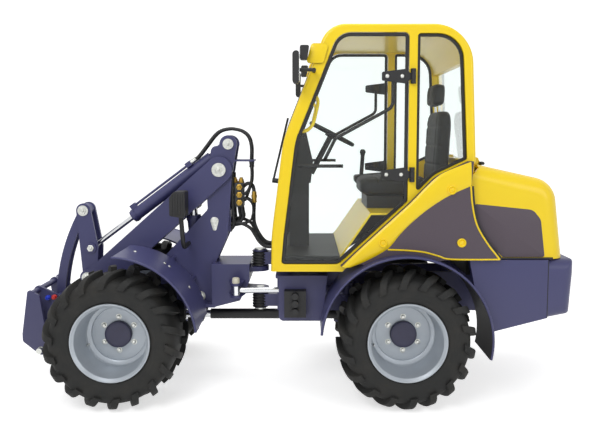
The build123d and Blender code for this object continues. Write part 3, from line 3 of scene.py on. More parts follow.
import bmesh
import bpy
import numpy as np
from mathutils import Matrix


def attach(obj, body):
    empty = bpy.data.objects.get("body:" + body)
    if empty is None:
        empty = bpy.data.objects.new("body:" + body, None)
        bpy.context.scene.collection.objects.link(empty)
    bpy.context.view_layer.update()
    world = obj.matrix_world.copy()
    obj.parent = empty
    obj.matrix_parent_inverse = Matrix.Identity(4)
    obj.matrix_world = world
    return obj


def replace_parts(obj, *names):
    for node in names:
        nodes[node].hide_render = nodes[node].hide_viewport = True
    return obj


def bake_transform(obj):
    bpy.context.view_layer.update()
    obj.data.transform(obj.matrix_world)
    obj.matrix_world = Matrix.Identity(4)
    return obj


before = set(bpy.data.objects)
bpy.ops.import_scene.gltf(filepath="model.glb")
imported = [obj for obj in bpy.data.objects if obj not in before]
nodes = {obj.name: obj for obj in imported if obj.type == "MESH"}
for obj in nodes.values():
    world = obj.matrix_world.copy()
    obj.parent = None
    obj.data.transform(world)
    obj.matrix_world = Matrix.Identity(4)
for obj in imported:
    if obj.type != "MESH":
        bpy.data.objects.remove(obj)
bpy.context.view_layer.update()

# The studio. A pale paper sweep that runs from the floor up behind the machine, a large soft light overhead
# and two at the side, and the camera at a standing person's eye height, level with the machine's left side.


def linear(code):
    """An sRGB hex colour as linear red, green, blue and alpha: c / 12.92 below 0.04045, else a 2.4 power."""
    parts = np.array([int(code[at : at + 2], 16) for at in (1, 3, 5)]) / 255
    parts = np.where(parts <= 0.04045, parts / 12.92, ((parts + 0.055) / 1.055) ** 2.4)
    return (*parts.tolist(), 1.0)


def add(tree, kind, put={}, links={}):
    """Adds one shader node: put sets its inputs or properties, links joins other outputs to its inputs."""
    made = tree.nodes.new("ShaderNode" + kind)
    for key, value in put.items():
        if isinstance(key, int) or key in made.inputs:
            made.inputs[key].default_value = value
        else:
            setattr(made, key, value)
    for key, source in links.items():
        tree.links.new(source, made.inputs[key])
    return made


def coat(name, colours, rough, size, shape="TexNoise", out="Fac", relief=0.0, sockets={}, **settings):
    """A new material whose pattern, of a size in mm on object coordinates, mixes its two colours.

    A pair for rough lets the pattern vary the roughness too, and relief is the strength of its 1 mm bump.
    Sockets holds the shader's other constants. Gives the material, its tree, shader, coordinates and pattern.
    """
    made = bpy.data.materials.new(name)
    made.use_nodes = True
    leaf = made.node_tree
    shader = leaf.nodes["Principled BSDF"]
    plain = np.mean([linear(colour) for colour in colours], 0).tolist()
    for key, value in {"Base Color": plain, "Roughness": float(np.mean(rough)), **sockets}.items():
        shader.inputs[key].default_value = value
    spots = add(leaf, "TexCoord").outputs["Object"]
    pattern = add(leaf, shape, {"Scale": 1000 / size, **settings}, {"Vector": spots}).outputs[out]
    if len(colours) == 2:
        shades = {"data_type": "RGBA", 6: linear(colours[0]), 7: linear(colours[1])}
        tint = add(leaf, "Mix", shades, {0: pattern})
        leaf.links.new(tint.outputs[2], shader.inputs["Base Color"])
    if np.size(rough) == 2:
        worn = add(leaf, "MapRange", {"To Min": rough[0], "To Max": rough[1]}, {"Value": pattern})
        leaf.links.new(worn.outputs["Result"], shader.inputs["Roughness"])
    if relief:
        bump = add(leaf, "Bump", {"Strength": relief, "Distance": 0.001}, {"Height": pattern})
        leaf.links.new(bump.outputs["Normal"], shader.inputs["Normal"])
    return made, leaf, shader, spots, pattern


def white_rays(leaf):
    """One where the eye looks straight, in metal or through glass: the largest of the three rays' flags."""
    rays = add(leaf, "LightPath").outputs
    straight = {0: rays["Is Camera Ray"], 1: rays["Is Glossy Ray"]}
    either = add(leaf, "Math", {"operation": "MAXIMUM"}, straight).outputs[0]
    through = {0: either, 1: rays["Is Transmission Ray"]}
    return add(leaf, "Math", {"operation": "MAXIMUM"}, through).outputs[0]


def skin(name, material, *patches, sharp=35):
    """One mesh from patches P(u, v): each is a grid of points in metres, with flags to close it in u and v."""
    corners, faces, start = [], [], 0
    for points, wrap_u, wrap_v in patches:
        rows, columns = points.shape[:2]
        u = np.arange(rows if wrap_u else rows - 1)[:, None]
        v = np.arange(columns if wrap_v else columns - 1)[None, :]
        next_u, next_v = (u + 1) % rows, (v + 1) % columns
        ring = (u * columns + v, next_u * columns + v, next_u * columns + next_v, u * columns + next_v)
        faces.append(np.stack(np.broadcast_arrays(*ring), -1).reshape(-1, 4) + start)
        corners.append(points.reshape(-1, 3))
        start += rows * columns
    mesh = bpy.data.meshes.new(name)
    mesh.from_pydata(np.concatenate(corners).tolist(), [], np.concatenate(faces).tolist())
    weld = bmesh.new()
    weld.from_mesh(mesh)
    bmesh.ops.remove_doubles(weld, verts=weld.verts, dist=1e-6)
    bmesh.ops.dissolve_degenerate(weld, edges=weld.edges, dist=1e-7)
    bmesh.ops.recalc_face_normals(weld, faces=weld.faces)
    weld.to_mesh(mesh)
    weld.free()
    mesh.polygons.foreach_set("use_smooth", np.ones(len(mesh.polygons), bool))
    mesh.set_sharp_from_angle(angle=math.radians(sharp))
    mesh.materials.append(material)
    piece = bpy.data.objects.new(name, mesh)
    bpy.context.scene.collection.objects.link(piece)
    return piece


# Photographer's paper: matt and pale, with a faint cloudiness.
studio_paper, tree, surface = coat("studio_paper", ("#F3F3F3", "#F7F7F7"), 0.9, 2500, Detail=1.0)[:3]
# Seen straight, in metal or through glass the paper is lifted to white. It lights the machine no more for it.
lift = add(tree, "MapRange", {"To Max": 0.6}, {"Value": white_rays(tree)})
tree.links.new(lift.outputs["Result"], surface.inputs["Emission Strength"])
surface.inputs["Emission Color"].default_value = (1, 1, 1, 1)

SWEEP_BEND = 4.0
bend = np.linspace(0, np.pi / 2, 16)
depth = np.concatenate([[14.0], -4.0 - SWEEP_BEND * np.sin(bend), [-8.0]])
rise = np.concatenate([[0.0], SWEEP_BEND - SWEEP_BEND * np.cos(bend), [14.0]])
across = np.linspace(-24, 24, 3)[:, None]
sweep_points = np.stack(np.broadcast_arrays(across, depth, rise), -1)
studio_sweep = skin("studio_sweep", studio_paper, (sweep_points, False, False))

world = bpy.data.worlds.new("studio_air")
bpy.context.scene.world = world
world.use_nodes = True
sky = world.node_tree
level = add(sky, "MapRange", {"To Min": 0.46, "To Max": 1.0}, {"Value": white_rays(sky)})
sky.links.new(level.outputs["Result"], sky.nodes["Background"].inputs["Strength"])
sky.nodes["Background"].inputs["Color"].default_value = (1, 1, 1, 1)

for name, stand, aim, width, watts in (
    ("key_light", (1.8, 4.4, 4.4), (0, 0, 1.0), 2.4, 95),
    ("fill_light", (-3.6, 3.8, 2.4), (-0.3, 0, 0.9), 2.6, 32),
    ("top_light", (0.0, -0.4, 5.0), (0, 0, 0.8), 4.0, 75),
):
    lamp = bpy.data.lights.new(name, "AREA")
    lamp.shape = "DISK"
    lamp.size = width
    lamp.energy = watts
    light = bpy.data.objects.new(name, lamp)
    light.location = stand
    line = np.array(aim) - np.array(stand)
    slant = math.atan2(math.hypot(line[0], line[1]), -line[2])
    light.rotation_euler = (slant, 0, math.atan2(line[1], line[0]) - math.pi / 2)
    bpy.context.scene.collection.objects.link(light)

lens = bpy.data.cameras.new("side_view")
lens.sensor_width = 36
lens.lens = 38.46
lens.shift_x = -0.0083
lens.shift_y = -0.0453
camera = bpy.data.objects.new("side_view", lens)
camera.location = (-0.0915, 4.173, 1.579)
camera.rotation_euler = (math.radians(85.2), 0, math.radians(180))
bpy.context.scene.collection.objects.link(camera)
bpy.context.scene.camera = camera
bpy.context.scene.view_settings.view_transform = "Standard"

# The two frames, the axles, boom, tool linkage, mudguards, skirts and cylinder barrels. Steel plate and tube,
# welded, shot-blasted and powder-coated slate blue.

# Baked powder coat: an even half gloss with a fine orange peel, greyed by dust low down.
slate_powder_coat, tree, surface, place, cloud = coat(
    "slate_powder_coat", ("#3E3F6A",), (0.34, 0.5), 333.33, Detail=4.0
)
height = add(tree, "SeparateXYZ", {}, {"Vector": place}).outputs["Z"]
low = add(tree, "MapRange", {"From Min": 0.85, "From Max": 0.15, "To Max": 0.35}, {"Value": height})
dust = add(tree, "Math", {"operation": "MULTIPLY"}, {0: low.outputs["Result"], 1: cloud})
shades = {"data_type": "RGBA", 6: linear("#3E3F6A"), 7: linear("#6E6A70")}
tint = add(tree, "Mix", shades, {0: dust.outputs[0]})
tree.links.new(tint.outputs[2], surface.inputs["Base Color"])
# Orange peel is about 2 mm across; it is drawn at 6 mm so that it shows at this distance.
peel = add(tree, "TexNoise", {"Scale": 1000 / 6, "Detail": 1.0}, {"Vector": place})
bump = add(tree, "Bump", {"Strength": 0.06, "Distance": 0.002}, {"Height": peel.outputs["Fac"]})
tree.links.new(bump.outputs["Normal"], surface.inputs["Normal"])


def dress(material, *names):
    """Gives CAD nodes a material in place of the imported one."""
    for name in names:
        nodes[name].data.materials.clear()
        nodes[name].data.materials.append(material)


dress(
    slate_powder_coat,
    "rear_chassis", "front_chassis", "front_axle", "rear_axle", "boom", "tilt_lever", "tilt_link",
    "tool_carrier", "front_fenders", "rear_fenders", "counterweight", "side_skirts", "tilt_barrel",
    "lift_barrel", "steer_barrel",
)

# The wheels. Silver-enamelled pressed steel rims with deep wells, dark hub caps and zinc wheel nuts, under
# wide traction tyres whose moulded rubber has two rows of slanting lugs that run over the shoulders.


def spot(x, y, z):
    """Millimetres ahead of the articulation axis, to the left and above the axle line, as frame metres."""
    return np.stack(np.broadcast_arrays(np.asarray(x) + 202.5, y, np.asarray(z) + 405.0), -1) / 1000


def turned(profile, centre, sides=64, way=1, upright=False):
    """A lathe form about Y or Z from rows (r, h): P(u, v) = centre + r(v) (cos u, sin u) + h(v) axis."""
    r, h = np.array(profile, float).T
    turn = np.linspace(0, 2 * np.pi, sides, endpoint=False)[:, None]
    x0, y0, z0 = centre
    across, along = r * np.sin(turn), way * h + 0 * turn
    if upright:
        return spot(x0 + r * np.cos(turn), y0 + across, z0 + along)
    return spot(x0 + r * np.cos(turn), y0 + along, z0 + across)


# Aluminium-flake enamel: a pale grey with a weak metal sheen, cloudy where it has been wiped.
silver_enamel = coat(
    "silver_enamel", ("#A6AEB7", "#B9BFC5"), (0.3, 0.48), 71.43, sockets={"Metallic": 0.35}, Detail=5.0
)[0]
# Dark enamel on the hub caps: half gloss, nearly even.
hub_enamel = coat("hub_enamel", ("#28273F", "#33324D"), 0.4, 50, Detail=3.0)[0]
# Bright zinc plate on pins, nuts and fittings, with the soft grain of its crystals drawn coarse at 12 mm.
zinc_plate = coat(
    "zinc_plate", ("#BBBDB8", "#DADBD6"), 0.34, 12, "TexVoronoi", "Color", sockets={"Metallic": 1.0}
)[0]
# Tread rubber: carbon black, matt, with grey dust in patches and a gritty skin drawn coarse at 4 mm.
tread_rubber, tree, surface, place, cloud = coat("tread_rubber", ("#0E0F0E",), 0.75, 111.11, Detail=6.0)
dusty = add(tree, "MapRange", {"From Min": 0.42, "From Max": 0.75, "To Max": 0.4}, {"Value": cloud})
shades = {"data_type": "RGBA", 6: linear("#0E0F0E"), 7: linear("#322F2A")}
tint = add(tree, "Mix", shades, {0: dusty.outputs["Result"]})
tree.links.new(tint.outputs[2], surface.inputs["Base Color"])
grit = add(tree, "TexNoise", {"Scale": 1000 / 4, "Detail": 2.0}, {"Vector": place})
bump = add(tree, "Bump", {"Strength": 0.25, "Distance": 0.001}, {"Height": grit.outputs["Fac"]})
tree.links.new(bump.outputs["Normal"], surface.inputs["Normal"])

FRONT_AXLE, REAR_AXLE, WHEEL_MIDDLE = 815, -878, 460
RIM_PROFILE = [
    (229, -168), (229, -159), (212, -151), (212, 151), (229, 159), (230.5, 164), (228, 168.5), (222, 168),
    (208, 155), (203, 140), (202, 60), (196, 30), (193, -2), (186, -12), (170, -16), (164, -20), (161, -30),
    (118, -30), (86, -29), (80, -28), (0, -28), (0, -43), (42.5, -43), (42.5, -102), (79, -102), (79, -43),
    (150, -43), (196, -46), (203, -60), (203, -158), (208, -168),
]
HUB_PROFILE = [(0, 4.5), (58, 4.5), (68, 3.8), (76, 1), (79, -4), (79, -29), (0, -29)]
NUT_PROFILE = [(0, 17), (8, 17), (11, 15), (12, 12), (12, 3), (17, 2.5), (17, 0), (0, 0)]
STEM_PROFILE = [(0, 34), (3, 34), (4, 30), (4, 14), (6, 12), (6, 0), (0, 0)]
NUTS, NUT_CIRCLE, NUT_SEAT = 6, 102.5, 430
WIDEST, GIRTH, CROWN, BEAD, SQUARE = 176.0, 300.0, 371.0, 214, 3.6
LUGS, LUG_HEIGHT, LUG_HALF, LUG_SWEEP, ROLL_RADIUS = 18, 33.5, 19, 96, 395


def casing(angle):
    """The tyre's half section, a superellipse from crown to side: y = a sin^p, r = r0 + b cos^p."""
    power = 2 / SQUARE
    return WIDEST * np.sin(angle) ** power, GIRTH + (CROWN - GIRTH) * np.cos(angle) ** power


def tyre_patches(centre):
    """The closed casing ring and its lugs, each a rounded bar carried out along the casing's half section."""
    crown_y, crown_r = casing(np.linspace(0.0, np.pi / 2, 15))
    fall = np.linspace(0.1, 1, 12)
    wall_r = GIRTH - (GIRTH - BEAD) * fall
    ribs = 2.4 * np.exp(-(((wall_r - 268) / 5) ** 2)) + 2.2 * np.exp(-(((wall_r - 244) / 4) ** 2))
    half_y = np.concatenate([crown_y, WIDEST - 30 * fall**2 + ribs])
    half_r = np.concatenate([crown_r, wall_r])
    whole_r, whole_y = np.concatenate([half_r[::-1], half_r[1:]]), np.concatenate([-half_y[::-1], half_y[1:]])
    patches = [(turned(np.stack([whole_r, whole_y], -1), centre, 108), True, True)]

    along = np.linspace(0, 1, 13)
    base_y, base_r = casing(0.03 + 1.46 * along)
    lean_y = (base_y / WIDEST) ** (SQUARE - 1) / WIDEST
    lean_r = ((base_r - GIRTH) / (CROWN - GIRTH)) ** (SQUARE - 1) / (CROWN - GIRTH)
    unit = np.hypot(lean_y, lean_r)
    across = np.array([-1.0, -0.95, -0.92, -0.84, 0.0, 0.84, 0.92, 0.95, 1.0, 0.5, -0.5])
    rise = np.array([-0.25, 0.8, 0.94, 1.0, 1.0, 1.0, 0.94, 0.8, -0.25, -0.3, -0.3])
    stations = np.concatenate([[0], np.arange(13), [12]])
    shut = np.concatenate([[0.0], np.ones(13), [0.0]])[:, None]
    tall = (LUG_HEIGHT - 19 * along**4)[stations][:, None]
    height = 8 + (rise * tall - 8) * shut
    radius = base_r[stations][:, None] + height * (lean_r / unit)[stations][:, None]
    reach = base_y[stations][:, None] + height * (lean_y / unit)[stations][:, None]
    half = (LUG_HALF + 8 * along)[stations][:, None] * across * shut
    bend = LUG_SWEEP * (along[stations][:, None] ** 0.85 - 0.5)
    x0, y0, z0 = centre
    for side, shift in ((1, 0.0), (-1, 0.5)):
        turn = 2 * np.pi * (np.arange(LUGS) + shift) / LUGS
        angle = turn[:, None, None] + (bend + half) / ROLL_RADIUS
        lugs = spot(x0 + radius * np.sin(angle), y0 + side * reach, z0 + radius * np.cos(angle))
        patches += [(lug, False, True) for lug in lugs]
    return patches


for name, x, side in (
    ("front_left", FRONT_AXLE, 1), ("front_right", FRONT_AXLE, -1),
    ("rear_left", REAR_AXLE, 1), ("rear_right", REAR_AXLE, -1),
):
    centre, body = (x, side * WHEEL_MIDDLE, 0), "wheel_" + name
    tyre = skin("tread_" + name, tread_rubber, *tyre_patches(centre), sharp=38)
    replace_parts(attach(tyre, body), "tyre_" + name)
    dish = (turned(RIM_PROFILE, centre, 96, side), True, True)
    wheel = skin("wheel_rim_" + name, silver_enamel, dish, sharp=28)
    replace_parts(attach(wheel, body), "rim_" + name)
    hub = skin("hub_cap_" + name, hub_enamel, (turned(HUB_PROFILE, centre, 64, side), True, False), sharp=28)
    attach(hub, body)
    turn = np.radians(30 + 360 / NUTS * np.arange(NUTS))
    seats = zip(x + NUT_CIRCLE * np.cos(turn), side * NUT_SEAT + 0 * turn, NUT_CIRCLE * np.sin(turn))
    nuts = [(turned(NUT_PROFILE, seat, 12, side), True, False) for seat in seats]
    stem = (turned(STEM_PROFILE, (x + 176, side * 445, -60), 12, side), True, False)
    studs = skin("wheel_nuts_" + name, zinc_plate, *nuts, stem)
    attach(studs, body)

# The link pins and lock pins. Turned steel bars with washer heads, zinc plated, each held by one hexagon bolt
# in its head.

dress(zinc_plate, "front_pins", "lever_pin", "link_pin", "tool_pin", "lock_pins", "pivot_pins")
BOLT_PROFILE = [(0, 13), (8, 13), (11, 11), (11, 5), (20, 4.5), (23, 3), (23, 0), (0, 0)]
for body, pins in (
    ("front_frame", ((253, 124, 960), (195, 95.3, 1123), (385, 95.3, 140))),
    ("lever_pin", ((1105, 122.3, 268),)),
    ("lever", ((1095, 68, 449),)),
    ("link_pin", ((1139, 68.3, 694),)),
    ("tool_pin", ((1270, 148.3, -130),)),
):
    heads = [
        (turned(BOLT_PROFILE, (x, way * y, z), 6, way), True, False) for x, y, z in pins for way in (1, -1)
    ]
    bolts = skin("pin_bolts_" + body, zinc_plate, *heads, sharp=20)
    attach(bolts, body)

# The drop-shaped plate on each side of the tower. Thin bright steel, stamped with a rounded rim and glued flat
# on the powder coat.


def rounded(corners, steps=9):
    """A closed outline round corners (x, z, r): each becomes an arc of radius r tangent to its sides."""
    rows = np.array(corners, float)
    here, size = rows[:, :2], rows[:, 2:]
    before, after = np.roll(here, 1, 0) - here, np.roll(here, -1, 0) - here
    before /= np.linalg.norm(before, axis=1, keepdims=True)
    after /= np.linalg.norm(after, axis=1, keepdims=True)
    half = np.arccos(np.clip((before * after).sum(1, keepdims=True), -1, 1)) / 2
    middle = (before + after) / np.linalg.norm(before + after, axis=1, keepdims=True)
    centre = here + middle * size / np.sin(half)
    start, end = (here + way * size / np.tan(half) - centre for way in (before, after))
    swing, t = (np.pi - 2 * half)[:, None], np.linspace(0, 1, steps)[None, :, None]
    arc = (start[:, None] * np.sin((1 - t) * swing) + end[:, None] * np.sin(t * swing)) / np.sin(swing)
    return (centre[:, None] + arc).reshape(-1, 2)


def inset(outline, depth):
    """An outline moved inwards by a depth along its own normals."""
    run = np.roll(outline, -1, 0) - np.roll(outline, 1, 0)
    normal = np.stack([-run[:, 1], run[:, 0]], -1) / np.linalg.norm(run, axis=1, keepdims=True)
    ahead = np.roll(outline, -1, 0)
    turn = np.sign((outline[:, 0] * ahead[:, 1] - ahead[:, 0] * outline[:, 1]).sum())
    return outline + turn * depth * normal


def plate(outline, back, face, edge, along_x=False):
    """A flat piece from the back plane to the face plane with a rounded rim: rings from middle to middle."""
    way = np.sign(face - back)
    middle = outline.mean(0) + 0 * outline
    rings = np.stack([middle, outline, outline, inset(outline, 0.3 * edge), inset(outline, edge), middle])
    lift = np.array([back, back, face - way * edge, face - 0.3 * way * edge, face, face])[:, None]
    if along_x:
        return spot(lift, rings[..., 0], rings[..., 1]), False, True
    return spot(rings[..., 0], lift, rings[..., 1]), False, True


drop = rounded([(254, 655, 24), (320, 655, 24), (297, 568, 8), (277, 568, 8)])
drop_plates = skin("drop_plates", zinc_plate, *[plate(drop, way * 85, way * 88, 1.2) for way in (1, -1)])
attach(drop_plates, "front_frame")

# The cylinder rods and the sliding core of the drive shaft. Hard-chromed steel bar, ground and polished, that
# slides in seals at the end of each barrel.

# Hard chrome: a clear mirror with faint dull streaks from wiping.
polished_chrome = coat(
    "polished_chrome", ("#D8DADC",), (0.08, 0.22), 25, sockets={"Metallic": 1.0}, Detail=2.0
)[0]
dress(polished_chrome, "tilt_rod", "lift_rod", "steer_rod", "drive_shaft_front")

# The hydraulic hoses. Wire-braided rubber with a ribbed black cover, crimped into zinc ferrules: two arch over
# the tower to the tilt cylinder, and three cross to the cab.

# Hose cover: black rubber, matt, with the cloth mark of its wrapping drawn coarse at 5 mm.
hose_rubber = coat("hose_rubber", ("#161617", "#29292B"), 0.6, 5, relief=0.2, Detail=2.0)[0]


def flow(points, count=48):
    """A smooth line through points: a Catmull-Rom spline, each point a cubic mix of its four neighbours."""
    knots = np.array(points, float)
    knots = np.concatenate([2 * knots[:1] - knots[1:2], knots, 2 * knots[-1:] - knots[-2:-1]])
    place = np.linspace(0, len(points) - 1, count)
    first = np.minimum(place.astype(int), len(points) - 2)
    t = (place - first)[:, None]
    a, b, c, d = (knots[first + step] for step in range(4))
    return 0.5 * (2 * b + (c - a) * t + (2 * a - 5 * b + 4 * c - d) * t**2 + (3 * b - 3 * c + d - a) * t**3)


def tube(path, radius, sides=12, across=(0, 1, 0)):
    """A round bar along a path: P(u, v) = path(u) + r (n cos v + b sin v), with both ends drawn shut."""
    path = np.asarray(path, float)
    run = np.gradient(path, axis=0)
    run /= np.linalg.norm(run, axis=1, keepdims=True)
    normal = np.cross(run, across)
    normal /= np.linalg.norm(normal, axis=1, keepdims=True)
    other = np.cross(run, normal)
    turn = np.linspace(0, 2 * np.pi, sides, endpoint=False)[None, :, None]
    size = np.broadcast_to(np.asarray(radius, float), (len(path),))[:, None, None]
    rings = path[:, None] + size * (normal[:, None] * np.cos(turn) + other[:, None] * np.sin(turn))
    ends = path[[0, -1], None] + 0 * rings[:2]
    rings = np.concatenate([ends[:1], rings, ends[1:]])
    return spot(rings[..., 0], rings[..., 1], rings[..., 2]), False, True


def strung(line, y, radius, sides=12, count=48):
    """A round bar in an upright plane: a tube along the smooth line through (x, z) points at one y."""
    return tube(flow([(x, y, z) for x, z in line], count), radius, sides)


HOSE_RADIUS, ARCH_Y, CROSS_Y = 11, 24, 46
ARCH = (
    (52, 1022), (52, 1108), (70, 1170), (110, 1205), (162, 1219), (201, 1219), (248, 1207), (288, 1176),
    (345, 1103), (395, 1040), (443, 1004),
)
arches = [strung(ARCH, y, HOSE_RADIUS, count=72) for y in (ARCH_Y, -ARCH_Y)]
arch_hoses = skin("arch_hoses", hose_rubber, *arches)
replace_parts(arch_hoses, "loader_hoses")
arch_start, arch_end = spot(60, 0, 1100).tolist(), spot(430, 0, 1014).tolist()
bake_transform(arch_hoses)

crossings = []
for y, z in ((CROSS_Y, 610), (-CROSS_Y, 630)):
    route = ((186, z), (122, z), (60, z - 32), (30, 534), (0, 487), (-40, 459), (-98, 455))
    crossings.append(strung(route, y, HOSE_RADIUS))
RETURN_LINE = (
    (108, 846), (78, 866), (48, 852), (38, 805), (38, 740), (41, 660), (36, 600), (4, 530), (-40, 482),
    (-98, 474),
)
crossings.append(strung(RETURN_LINE, 0, 12, count=72))
cross_hoses = skin("cross_hoses", hose_rubber, *crossings)
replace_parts(cross_hoses, "loader_hoses")
spot(150, 0, 600).tolist()
spot(-80, 0, 460).tolist()
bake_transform(cross_hoses)

FERRULE = np.array([14.5, 14.5, 13, 15.5, 15.5])
port_run = np.array([[443, 0, 1004], [436, 0, 1009.3], [419, 0, 1022], [418, 0, 1022.8], [411, 0, 1028]])
ports = [tube(port_run + [0, y, 0], FERRULE) for y in (ARCH_Y, -ARCH_Y)]
port_ferrules = skin("port_ferrules", zinc_plate, *ports)
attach(port_ferrules, "tilt_barrel")

# The valve bank behind the tower. A drilled steel manifold, phosphated, with brass cartridges screwed in from
# the side and the top, ferruled stubs for the arch hoses, and short hoses that hug the tower.

# Brass: a warm yellow metal, half polished, with brown stains.
valve_brass = coat(
    "valve_brass", ("#A07C33", "#CBA954"), 0.32, 16.67, sockets={"Metallic": 1.0}, Detail=3.0
)[0]
# Phosphated steel: a dull grey-black crystal coat that holds oil.
phosphated_steel = coat(
    "phosphated_steel", ("#303133", "#4A4B4D"), 0.5, 20, sockets={"Metallic": 0.6}, Detail=4.0
)[0]
BANK_HALF = 46
bank = rounded([(104, 716, 6), (104, 872, 6), (180, 872, 6), (186, 716, 6)])
stand = np.array([[52, 0, 1012], [52, 0, 1005], [52, 0, 985], [52, 0, 984], [52, 0, 972]])
stubs = [tube(stand + [0, y, 0], FERRULE[::-1]) for y in (ARCH_Y, -ARCH_Y)]
manifold = skin("valve_manifold", phosphated_steel, plate(bank, -BANK_HALF, BANK_HALF, 3), *stubs)
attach(manifold, "front_frame")

CARTRIDGE = [(0, 34), (9, 34), (12, 31), (12, 22), (17, 21), (17, 10), (20, 9), (20, 0), (0, 0)]
cartridges = [(turned(CARTRIDGE, (130, BANK_HALF, z), 6), True, False) for z in (745, 795, 845)]
cartridges += [(turned(CARTRIDGE, (x, 0, 872), 6, upright=True), True, False) for x in (122, 162)]
valve_cartridges = skin("valve_cartridges", valve_brass, *cartridges, sharp=20)
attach(valve_cartridges, "front_frame")
COUPLING = [
    (0, 72), (14, 72), (16, 68), (16, 50), (19, 49), (19, 31), (16, 30), (16, 11), (18, 10), (18, 0), (0, 0),
]
coupling = (turned(COUPLING, (38, 0, 742), 12, upright=True), True, False)
return_coupling = skin("return_coupling", valve_brass, coupling, sharp=20)
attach(return_coupling, "front_frame")

SHORT_HOSE, PILOT_HOSE = 10, 7
drops = []
for y, z in ((ARCH_Y, 800), (-ARCH_Y, 760)):
    route = ((52, 975), (50, 930), (54, 880), (70, 830), (96, z), (112, z))
    drops.append(strung(route, y, SHORT_HOSE))
for y, x in ((36, 118), (0, 140), (-36, 118)):
    route = [(x, y, 720), (x - 6, y, 680), (x - 10, y, 650), (x + 10, y, 622), (186, y * 0.6, 610)]
    drops.append(tube(flow(route), SHORT_HOSE))
SIDE_LINE = ((172, 60, 935), (173, 60, 850), (172, 60, 760), (168, 60, 680), (166, 58, 610), (190, 52, 560))
PILOT_LINE = ((108, 34, 770), (74, 34, 764), (46, 31, 728), (47, 28, 662), (76, 26, 614), (190, 26, 588))
for way in (1, -1):
    for line, radius in ((SIDE_LINE, SHORT_HOSE), (PILOT_LINE, PILOT_HOSE)):
        drops.append(tube(flow([(x, way * y, z) for x, y, z in line]), radius))
bank_hoses = skin("bank_hoses", hose_rubber, *drops)
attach(bank_hoses, "front_frame")

# The articulation. Ribbed black rubber boots, clipped on, seal the two steel bosses, and a cream plastic cap
# is pushed over the steering pin.

# Black moulding: ABS or rubber from a spark-eroded mould, dark and even, its grain drawn coarse at 3 mm.
black_moulding = coat("black_moulding", ("#111112", "#1B1B1D"), 0.55, 3, relief=0.15, Detail=2.0)[0]
dress(black_moulding, "drive_shaft_rear", "valve_block")

RIBS, BOOT_RADIUS, BOOT_HEIGHT = 5, 50.5, 92
ribs = np.linspace(0, 1, 41)
boot = np.stack([BOOT_RADIUS + 3.5 * np.cos(2 * np.pi * RIBS * ribs), 4 + BOOT_HEIGHT * ribs], -1)
boot = np.concatenate([[[46, 4]], boot, [[46, 4 + BOOT_HEIGHT]]])
boots = [(turned(boot, (0, 0, z), 48, upright=True), True, True) for z in (327, 49)]
pivot_boots = skin("pivot_boots", black_moulding, *boots)
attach(pivot_boots, "rear_frame")

# Natural polyethylene: a waxy cream, half matt.
cream_plastic = coat("cream_plastic", ("#DDD7BF", "#EAE6D4"), 0.45, 33.33, Detail=2.0)[0]
CAP = [(0, 34), (14, 34), (20, 31), (23, 25), (24, 0), (0, 0)]
cap = (turned(CAP, (138, 230, 259), 32, upright=True), True, False)
pin_cap = skin("steering_pin_cap", cream_plastic, cap)
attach(pin_cap, "front_frame")

# The headlamps. Black moulded housings with ribs down their sides and fluted polycarbonate lenses, on bent
# tube posts that stand out from the tower.

dress(black_moulding, "front_lamps")
# Clear polycarbonate over a bright reflector: a glossy pale face.
clear_lens = coat(
    # Its flutes, 20 mm apart, are painted as light and dark bands: painted shade and painted highlight.
    "clear_lens", ("#B4BCC0", "#F1F4F5"), 0.12, 20, "TexWave", sockets={"Coat Weight": 0.6},
    bands_direction="Y",
)[0]
lens_patches, rib_patches = [], []
for way in (1, -1):
    pane = rounded([(way * 212, 702, 10), (way * 212, 788, 10), (way * 308, 788, 10), (way * 308, 702, 10)])
    lens_patches.append(plate(pane, 526, 531, 2, True))
    for x in (447, 463, 479, 495, 511):
        rib = rounded([(x - 3, 690, 2), (x - 3, 826, 2), (x + 3, 824, 2), (x + 3, 690, 2)], 4)
        rib_patches.append(plate(rib, way * 318, way * 324, 1.5))
lamp_lenses = skin("headlamp_lenses", clear_lens, *lens_patches)
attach(lamp_lenses, "front_frame")
lamp_ribs = skin("headlamp_ribs", black_moulding, *rib_patches)
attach(lamp_ribs, "front_frame")

# The mudguards' trim. The rolled sheet has a beaded lip and a black rubber splash liner underneath, and the
# front pair is clamped to its brackets by zinc-plated button screws.


def arc_strip(x, start, end, section):
    """A strip round a wheel: a closed section of (radius, y) rows carried through an angle, ends shut."""
    r, y = np.array(section, float).T
    turn = np.radians(np.linspace(start, end, 61))[:, None]
    rows = np.stack(np.broadcast_arrays(x + r * np.cos(turn), y, r * np.sin(turn)), -1)
    ends = rows[[0, -1]].mean(1, keepdims=True) + 0 * rows[:2]
    rows = np.concatenate([ends[:1], rows, ends[1:]])
    return spot(rows[..., 0], rows[..., 1], rows[..., 2]), False, True


turn = np.linspace(0, 2 * np.pi, 10, endpoint=False)
bead = np.stack([491 + 7 * np.cos(turn), 606 + 7 * np.sin(turn)], -1)
for body, x, start, end, inner in (
    ("front_frame", FRONT_AXLE, 92, 173, 207), ("rear_frame", REAR_AXLE, 5, 192, 276),
):
    liner = np.array([(485.8, inner), (485.8, 604), (482.5, 604), (482.5, inner)])
    lips = [arc_strip(x, start, end, bead * [1, way]) for way in (1, -1)]
    liners = [arc_strip(x, start, end, liner * [1, way]) for way in (1, -1)]
    lip = skin("mudguard_lips_" + body, slate_powder_coat, *lips)
    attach(lip, body)
    splash = skin("splash_liners_" + body, black_moulding, *liners)
    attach(splash, body)

